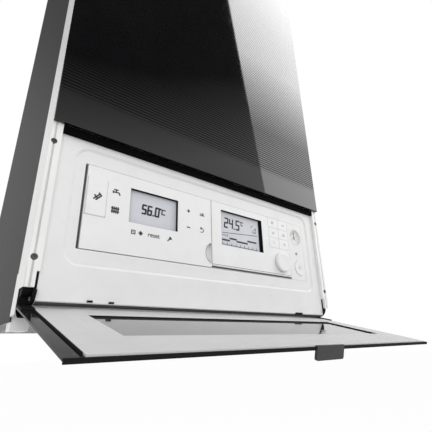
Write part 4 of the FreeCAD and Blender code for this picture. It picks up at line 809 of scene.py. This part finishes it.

# Shade and black strips of the flap: a dark grey band along the rolled lip of the fascia is painted shade of
# the gap above the flap.
# On the flap, black strips beside its frame and on the rear and right walls of the mirror's recess are
# painted shade, a black band at the back of the mirror is a painted reflection of that gap, and black pads
# and trims sit at its hinges and along its free end.
# The black ones are drawn with the flap shut and then turned open with it, about the hinge line.
FLAP_OPEN = math.radians(104.2)
LIP_SHADE_THICK = 0.12 * MM
LIP_SHADE_TURNS = (0, 34)
LIP_SHADE_INSET = 0.5
FRAME_SHADE_GAP = 0.05
FRAME_SHADE_WIDTH = 1.05
FRAME_SHADE_BEHIND = (2.25, 3.4)
FRAME_SHADE_DROPS = (16, 144)
PAD_GAP = 0.2
PAD_EDGE = 0.4
PAD_ARM_GAP = 0.3
PAD_BEHIND = (2.25, 4.2)
PAD_DROPS = (146, 166.8)
PAD_REAR_DROPS = (166.9, 180.8)
TRIM_EDGE = 0.2
TRIM_TAB_GAP = 0.5
TRIM_BEHIND = (-0.6, 2.1)
TRIM_DROPS = (9.9, 11.15)
REFLECTION_INSET = 0.1
REFLECTION_BEHIND = (2.8, 2.9)
REFLECTION_DROPS = (114.8, 124.0)
WALL_OVERHANG = 0.1
WALL_BEHIND = (2.8, 3.95)
REAR_WALL_DROPS = (124.02, 124.32)
RIGHT_WALL_SINK = 0.08
RIGHT_WALL_THICK = 0.3
RIGHT_WALL_DROPS = (49.4, 124.0)
fascia_low, fascia_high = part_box("control_fascia")
# Dark grey band on the rolled lip: painted shade of the gap between the fascia and the flap.
lip_shade_x = (fascia_low.x / MM + LIP_SHADE_INSET, fascia_high.x / MM - LIP_SHADE_INSET)
lip_piece("lip_painted_shade", lip_shade_x, LIP_SHADE_TURNS, LIP_SHADE_THICK, shade_grey)


def front_block(name, x, behind, drops, edge, material, body):
    """Block between limits in millimetres, counted back and down from the lower front edge of the glass."""
    y = [FRONT_Y + limit * MM for limit in behind]
    z = [SPLIT_Z - limit * MM for limit in reversed(drops)]
    return block(name, [limit * MM for limit in x], y, z, edge, material, body)


def flap_strip(name, x, behind, drops):
    """Black strip on the flap between limits in millimetres, given as if the flap were shut."""
    strip = front_block(name, x, behind, drops, FINE_EDGE, trim_and_shade_black, "flap")
    swing = Matrix.Translation(PIVOT) @ Matrix.Rotation(FLAP_OPEN, 4, "X") @ Matrix.Translation(-PIVOT)
    strip.matrix_world = swing
    bpy.ops.object.transform_apply(location=True, rotation=True, scale=True)


def on_side(sign, near, far):
    """Limits in x on the left side (sign -1) or the right side (sign 1), the lower one first."""
    return sorted((sign * near, sign * far))


frame_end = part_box("flap_frame")[1].x / MM
leaf_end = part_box("flap_glass")[1].x / MM
arm_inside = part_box("right_hinge_arm")[0].x / MM
mirror_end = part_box("flap_mirror")[1].x / MM
tab_low, tab_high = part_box("flap_pull_tab")
pad_inside = frame_end + PAD_GAP
side_strips = (
    # Black strips beside the frame: painted shade of the frame's edge on the glass.
    ("frame_painted_shade", frame_end + FRAME_SHADE_GAP, frame_end + FRAME_SHADE_GAP + FRAME_SHADE_WIDTH, FRAME_SHADE_BEHIND, FRAME_SHADE_DROPS),
    ("hinge_pad", pad_inside, leaf_end - PAD_EDGE, PAD_BEHIND, PAD_DROPS),
    ("hinge_pad_rear", pad_inside, arm_inside - PAD_ARM_GAP, PAD_BEHIND, PAD_REAR_DROPS),
)
for name, near, far, behind, drops in side_strips:
    for side, sign in (("left_", -1), ("right_", 1)):
        flap_strip(side + name, on_side(sign, near, far), behind, drops)
trim_end = leaf_end - TRIM_EDGE
flap_strip("left_end_trim", (-trim_end, tab_low.x / MM - TRIM_TAB_GAP), TRIM_BEHIND, TRIM_DROPS)
flap_strip("right_end_trim", (tab_high.x / MM + TRIM_TAB_GAP, trim_end), TRIM_BEHIND, TRIM_DROPS)
# Black band at the back of the mirror: painted reflection of the dark gap under the fascia.
reflection_end = mirror_end - REFLECTION_INSET
flap_strip("mirror_painted_reflection", (-reflection_end, reflection_end), REFLECTION_BEHIND, REFLECTION_DROPS)
# Black strips on the rear and right walls of the mirror's recess: painted shade.
wall_end = mirror_end + WALL_OVERHANG
flap_strip("mirror_rear_wall_shade", (-wall_end, wall_end), WALL_BEHIND, REAR_WALL_DROPS)
right_wall = mirror_end - RIGHT_WALL_SINK
flap_strip("mirror_right_wall_shade", (right_wall, right_wall + RIGHT_WALL_THICK), WALL_BEHIND, RIGHT_WALL_DROPS)

# Hinge covers: thin white plates on the outside of each side, over the ends of the rails.
# They close the side behind the hinge and leave its front part open. Black strips in the slot inside are
# painted shade, as are black skins on the ends of the rolled lip and a curved black sheet behind the end of
# the flap.
COVER_GAP = 0.1
COVER_THICK = 0.5
COVER_EDGE = 0.1 * MM
COVER_BACK = 42
# Each cover: its setback from the front of the glass, and its two drops below the glass.
COVERS = (("upper", 5, (150, 166)), ("lower", 23, (166, 187.5)))
SLOT_X = (209.35, 211.8)
# Each painted shade strip: its two setbacks from the front of the glass, and its two drops below the glass.
SLOT_SHADES = (("slot_painted_shade", (8.8, 10.0), (152.2, 176)), ("slot_painted_shade_lower", (12.5, 15.5), (173, 178.3)))
LIP_END_SHADE_TURNS = (0, 84)
LIP_END_SHADE_THICK = 3 * MM
WELL_X = (206.5, 217.9)
WELL_RADIUS = 23.5 * MM
WELL_THICK = 0.6 * MM
WELL_TURNS = (-72, -1)
cover_inside = cad_box[1].x / MM + COVER_GAP
for side, sign in (("left_", -1), ("right_", 1)):
    cover_x = on_side(sign, cover_inside, cover_inside + COVER_THICK)
    for part, setback, drops in COVERS:
        front_block(side + "hinge_cover_" + part, cover_x, (setback, COVER_BACK), drops, COVER_EDGE,
                    rail_white, "casing")
    slot_x = on_side(sign, *SLOT_X)
    lip_piece(side + "lip_end_shade", slot_x, LIP_END_SHADE_TURNS, -LIP_END_SHADE_THICK, trim_and_shade_black)
    well_x = on_side(sign, *WELL_X)
    lip_piece(side + "hinge_well_shade", well_x, WELL_TURNS, WELL_THICK, trim_and_shade_black, inner=WELL_RADIUS)
    for part, behind, drops in SLOT_SHADES:
        front_block(side + part, slot_x, behind, drops, COVER_EDGE, trim_and_shade_black, "casing")

# Heat exchanger, burner hood, fan motor and gas valve: sand-cast aluminium bolted in a stack.
# The sand leaves the metal rough and dull.
cast_aluminium = coat("cast_aluminium", (0.55, 0.56, 0.57), roughness=0.5, grain=1.4, relief=0.12,
                      drift=0.08, metallic=1.0)
dress(cast_aluminium, "heat_exchanger", "burner_hood", "fan_motor", "gas_valve")

# Copper pipes: drawn tube that has gone dull and brown in patches, longer along the pipe than across it.
# One feeds the gas valve, the other two are the flow and the return of the water.
copper, tree, shader = new_material("dull_copper", roughness=0.35, metallic=1.0)
patchy(tree, shader, 30 * MM, dark=(0.42, 0.20, 0.12), light=(0.72, 0.40, 0.27), stretch=(1, 1, 0.25))
uneven_gloss(tree, shader, cloudy(tree, 6 * MM, stretch=(1, 1, 0.1)), low=0.25, high=0.45)
dress(copper, "gas_pipe", "flow_pipe", "return_pipe")

# Flue pipe and adapter: white plastic tubes, one inside the other.
# The adapter is screwed to the top panel.
dress(coat("flue_plastic", (0.72, 0.72, 0.70), roughness=0.45, grain=1.0, relief=0.02),
      "flue_pipe", "flue_adapter")

# Expansion vessel, pump and plate exchanger: red painted drum, coated iron casting and brazed steel plates.
# The drum is fixed to the back plate, and the pump to the water block.
dress(coat("vessel_red", (0.42, 0.03, 0.025), roughness=0.4, grain=1.6, relief=0.04), "expansion_vessel")
dress(coat("pump_iron", (0.06, 0.06, 0.065), roughness=0.55, grain=1.6, relief=0.1), "pump_housing")
dress(coat("stainless_plate", (0.60, 0.60, 0.59), roughness=0.28, grain=1.0, relief=0.01, metallic=1.0),
      "plate_exchanger")

# Floor and studio: a white room with a pale floor well below the boiler.
# Cameras see white all round, and glossy surfaces see white at eye level and a darker ceiling above.
WHITE = (1, 1, 1, 1)
FLOOR_Z = -1.7
FLOOR_SIZE = 60
FLOOR_GLOW_SHARE = 0.95
ROOM_LIGHT = 0.80
CEILING_START = 0.50
CEILING_FULL = 0.69


def direct_sight(tree):
    """One for rays straight from the camera or through clear pieces, and nought for all others."""
    ray = tree.nodes.new("ShaderNodeLightPath")
    direct = tree.nodes.new("ShaderNodeMath")
    direct.operation = "MAXIMUM"
    tree.links.new(ray.outputs["Is Camera Ray"], direct.inputs[0])
    tree.links.new(ray.outputs["Is Transmission Ray"], direct.inputs[1])
    return direct.outputs["Value"]


def blended(tree, factor, first, second):
    """Mix of two shaders: the first where the factor is nought, the second where it is one."""
    blend = tree.nodes.new("ShaderNodeMixShader")
    tree.links.new(factor, blend.inputs["Fac"])
    tree.links.new(first, blend.inputs[1])
    tree.links.new(second, blend.inputs[2])
    return blend.outputs["Shader"]


bpy.ops.object.select_all(action="DESELECT")
bpy.ops.mesh.primitive_plane_add(size=FLOOR_SIZE, location=(0, 0, FLOOR_Z))
floor = bpy.context.object
floor.name = "floor"
floor_paint, tree, shader = new_material("floor_white", roughness=0.9)
patchy(tree, shader, 500 * MM, dark=(0.84, 0.84, 0.84), light=(0.88, 0.88, 0.88))
glow = tree.nodes.new("ShaderNodeEmission")
glow.inputs["Color"].default_value = WHITE
glow_share = ranged(tree, direct_sight(tree), start=0, end=1, low=0, high=FLOOR_GLOW_SHARE)
floor_look = blended(tree, glow_share, shader.outputs["BSDF"], glow.outputs["Emission"])
tree.links.new(floor_look, tree.nodes["Material Output"].inputs["Surface"])
floor.data.materials.append(floor_paint)

world = bpy.data.worlds.new("studio")
bpy.context.scene.world = world
world.use_nodes = True
tree = world.node_tree
room = tree.nodes["Background"]
room.inputs["Color"].default_value = WHITE
room.inputs["Strength"].default_value = ROOM_LIGHT
backdrop = tree.nodes.new("ShaderNodeBackground")
backdrop.inputs["Color"].default_value = WHITE
reflected = tree.nodes.new("ShaderNodeBackground")
rise = upward_part(tree, tree.nodes.new("ShaderNodeTexCoord").outputs["Generated"])
ceiling = two_tone(tree, rise, dark=(0.95, 0.95, 0.95), light=(0.03, 0.03, 0.03),
                   start=CEILING_START, end=CEILING_FULL)
tree.links.new(ceiling, reflected.inputs["Color"])
glossy = tree.nodes.new("ShaderNodeLightPath").outputs["Is Glossy Ray"]
lit_room = blended(tree, glossy, room.outputs["Background"], reflected.outputs["Background"])
seen_room = blended(tree, direct_sight(tree), lit_room, backdrop.outputs["Background"])
tree.links.new(seen_room, tree.nodes["World Output"].inputs["Surface"])

# Lamps: a tall card on the right, which shows as a pale strip in the glass, brighter towards its top,
# and a square lamp that fills the front from the left.
CARD_DIM_Z = 0.69
CARD_BRIGHT_Z = 1.33
CARD_DIM_SHARE = 0.58
CARD_BRIGHT_SHARE = 2.2


def soft_box(name, place, across, upward, width, tall, radiance):
    """Rectangular lamp with its sides along across and upward, of one radiance all over."""
    across = Vector(across).normalized()
    out = across.cross(Vector(upward)).normalized()
    upward = out.cross(across)
    lamp = bpy.data.lights.new(name, "AREA")
    lamp.shape = "RECTANGLE"
    lamp.size = width
    lamp.size_y = tall
    lamp.energy = radiance * math.pi * width * tall
    holder = bpy.data.objects.new(name, lamp)
    bpy.context.scene.collection.objects.link(holder)
    holder.matrix_world = Matrix.Translation(place) @ Matrix((across, upward, out)).transposed().to_4x4()
    return holder


card = soft_box("right_card", place=(1.823, -1.35, 1.287), across=(0.989, 0, 0.149),
                upward=(-0.149, 0, 0.989), width=1.5, tall=2.4, radiance=3.5)
card.data.use_nodes = True
tree = card.data.node_tree
card_height = upward_part(tree, tree.nodes.new("ShaderNodeNewGeometry").outputs["Position"])
brighter = ranged(tree, card_height, CARD_DIM_Z, CARD_BRIGHT_Z, CARD_DIM_SHARE, CARD_BRIGHT_SHARE)
tree.links.new(brighter, tree.nodes["Emission"].inputs["Strength"])
soft_box("front_fill", place=(-1.2, -2.4, 0.2), across=(0.9, -0.44, 0), upward=(0, 0, 1),
         width=1.6, tall=1.6, radiance=1.6)

# Camera: close to the lower left of the front, looking up, as in the photograph.
# Its place, turn and lens were fitted to the corners of the front seen there.
CAMERA_PLACE = (-0.272798, -0.6637, -0.69701)
CAMERA_RIGHT = (0.777293, -0.628651, -0.024771)
CAMERA_UP = (-0.20541, -0.2908, 0.934474)
CAMERA_BACK = (-0.594662, -0.721272, -0.355168)
LENS_LENGTH = 27.801
SENSOR_WIDTH = 36.0
NEAR_LIMIT = 0.01
camera_data = bpy.data.cameras.new("camera")
camera_data.lens = LENS_LENGTH
camera_data.sensor_width = SENSOR_WIDTH
camera_data.clip_start = NEAR_LIMIT
camera = bpy.data.objects.new("camera", camera_data)
bpy.context.scene.collection.objects.link(camera)
camera_turn = Matrix((CAMERA_RIGHT, CAMERA_UP, CAMERA_BACK)).transposed().to_4x4()
camera.matrix_world = Matrix.Translation(CAMERA_PLACE) @ camera_turn
bpy.context.scene.camera = camera
bpy.context.scene.view_settings.view_transform = "Standard"
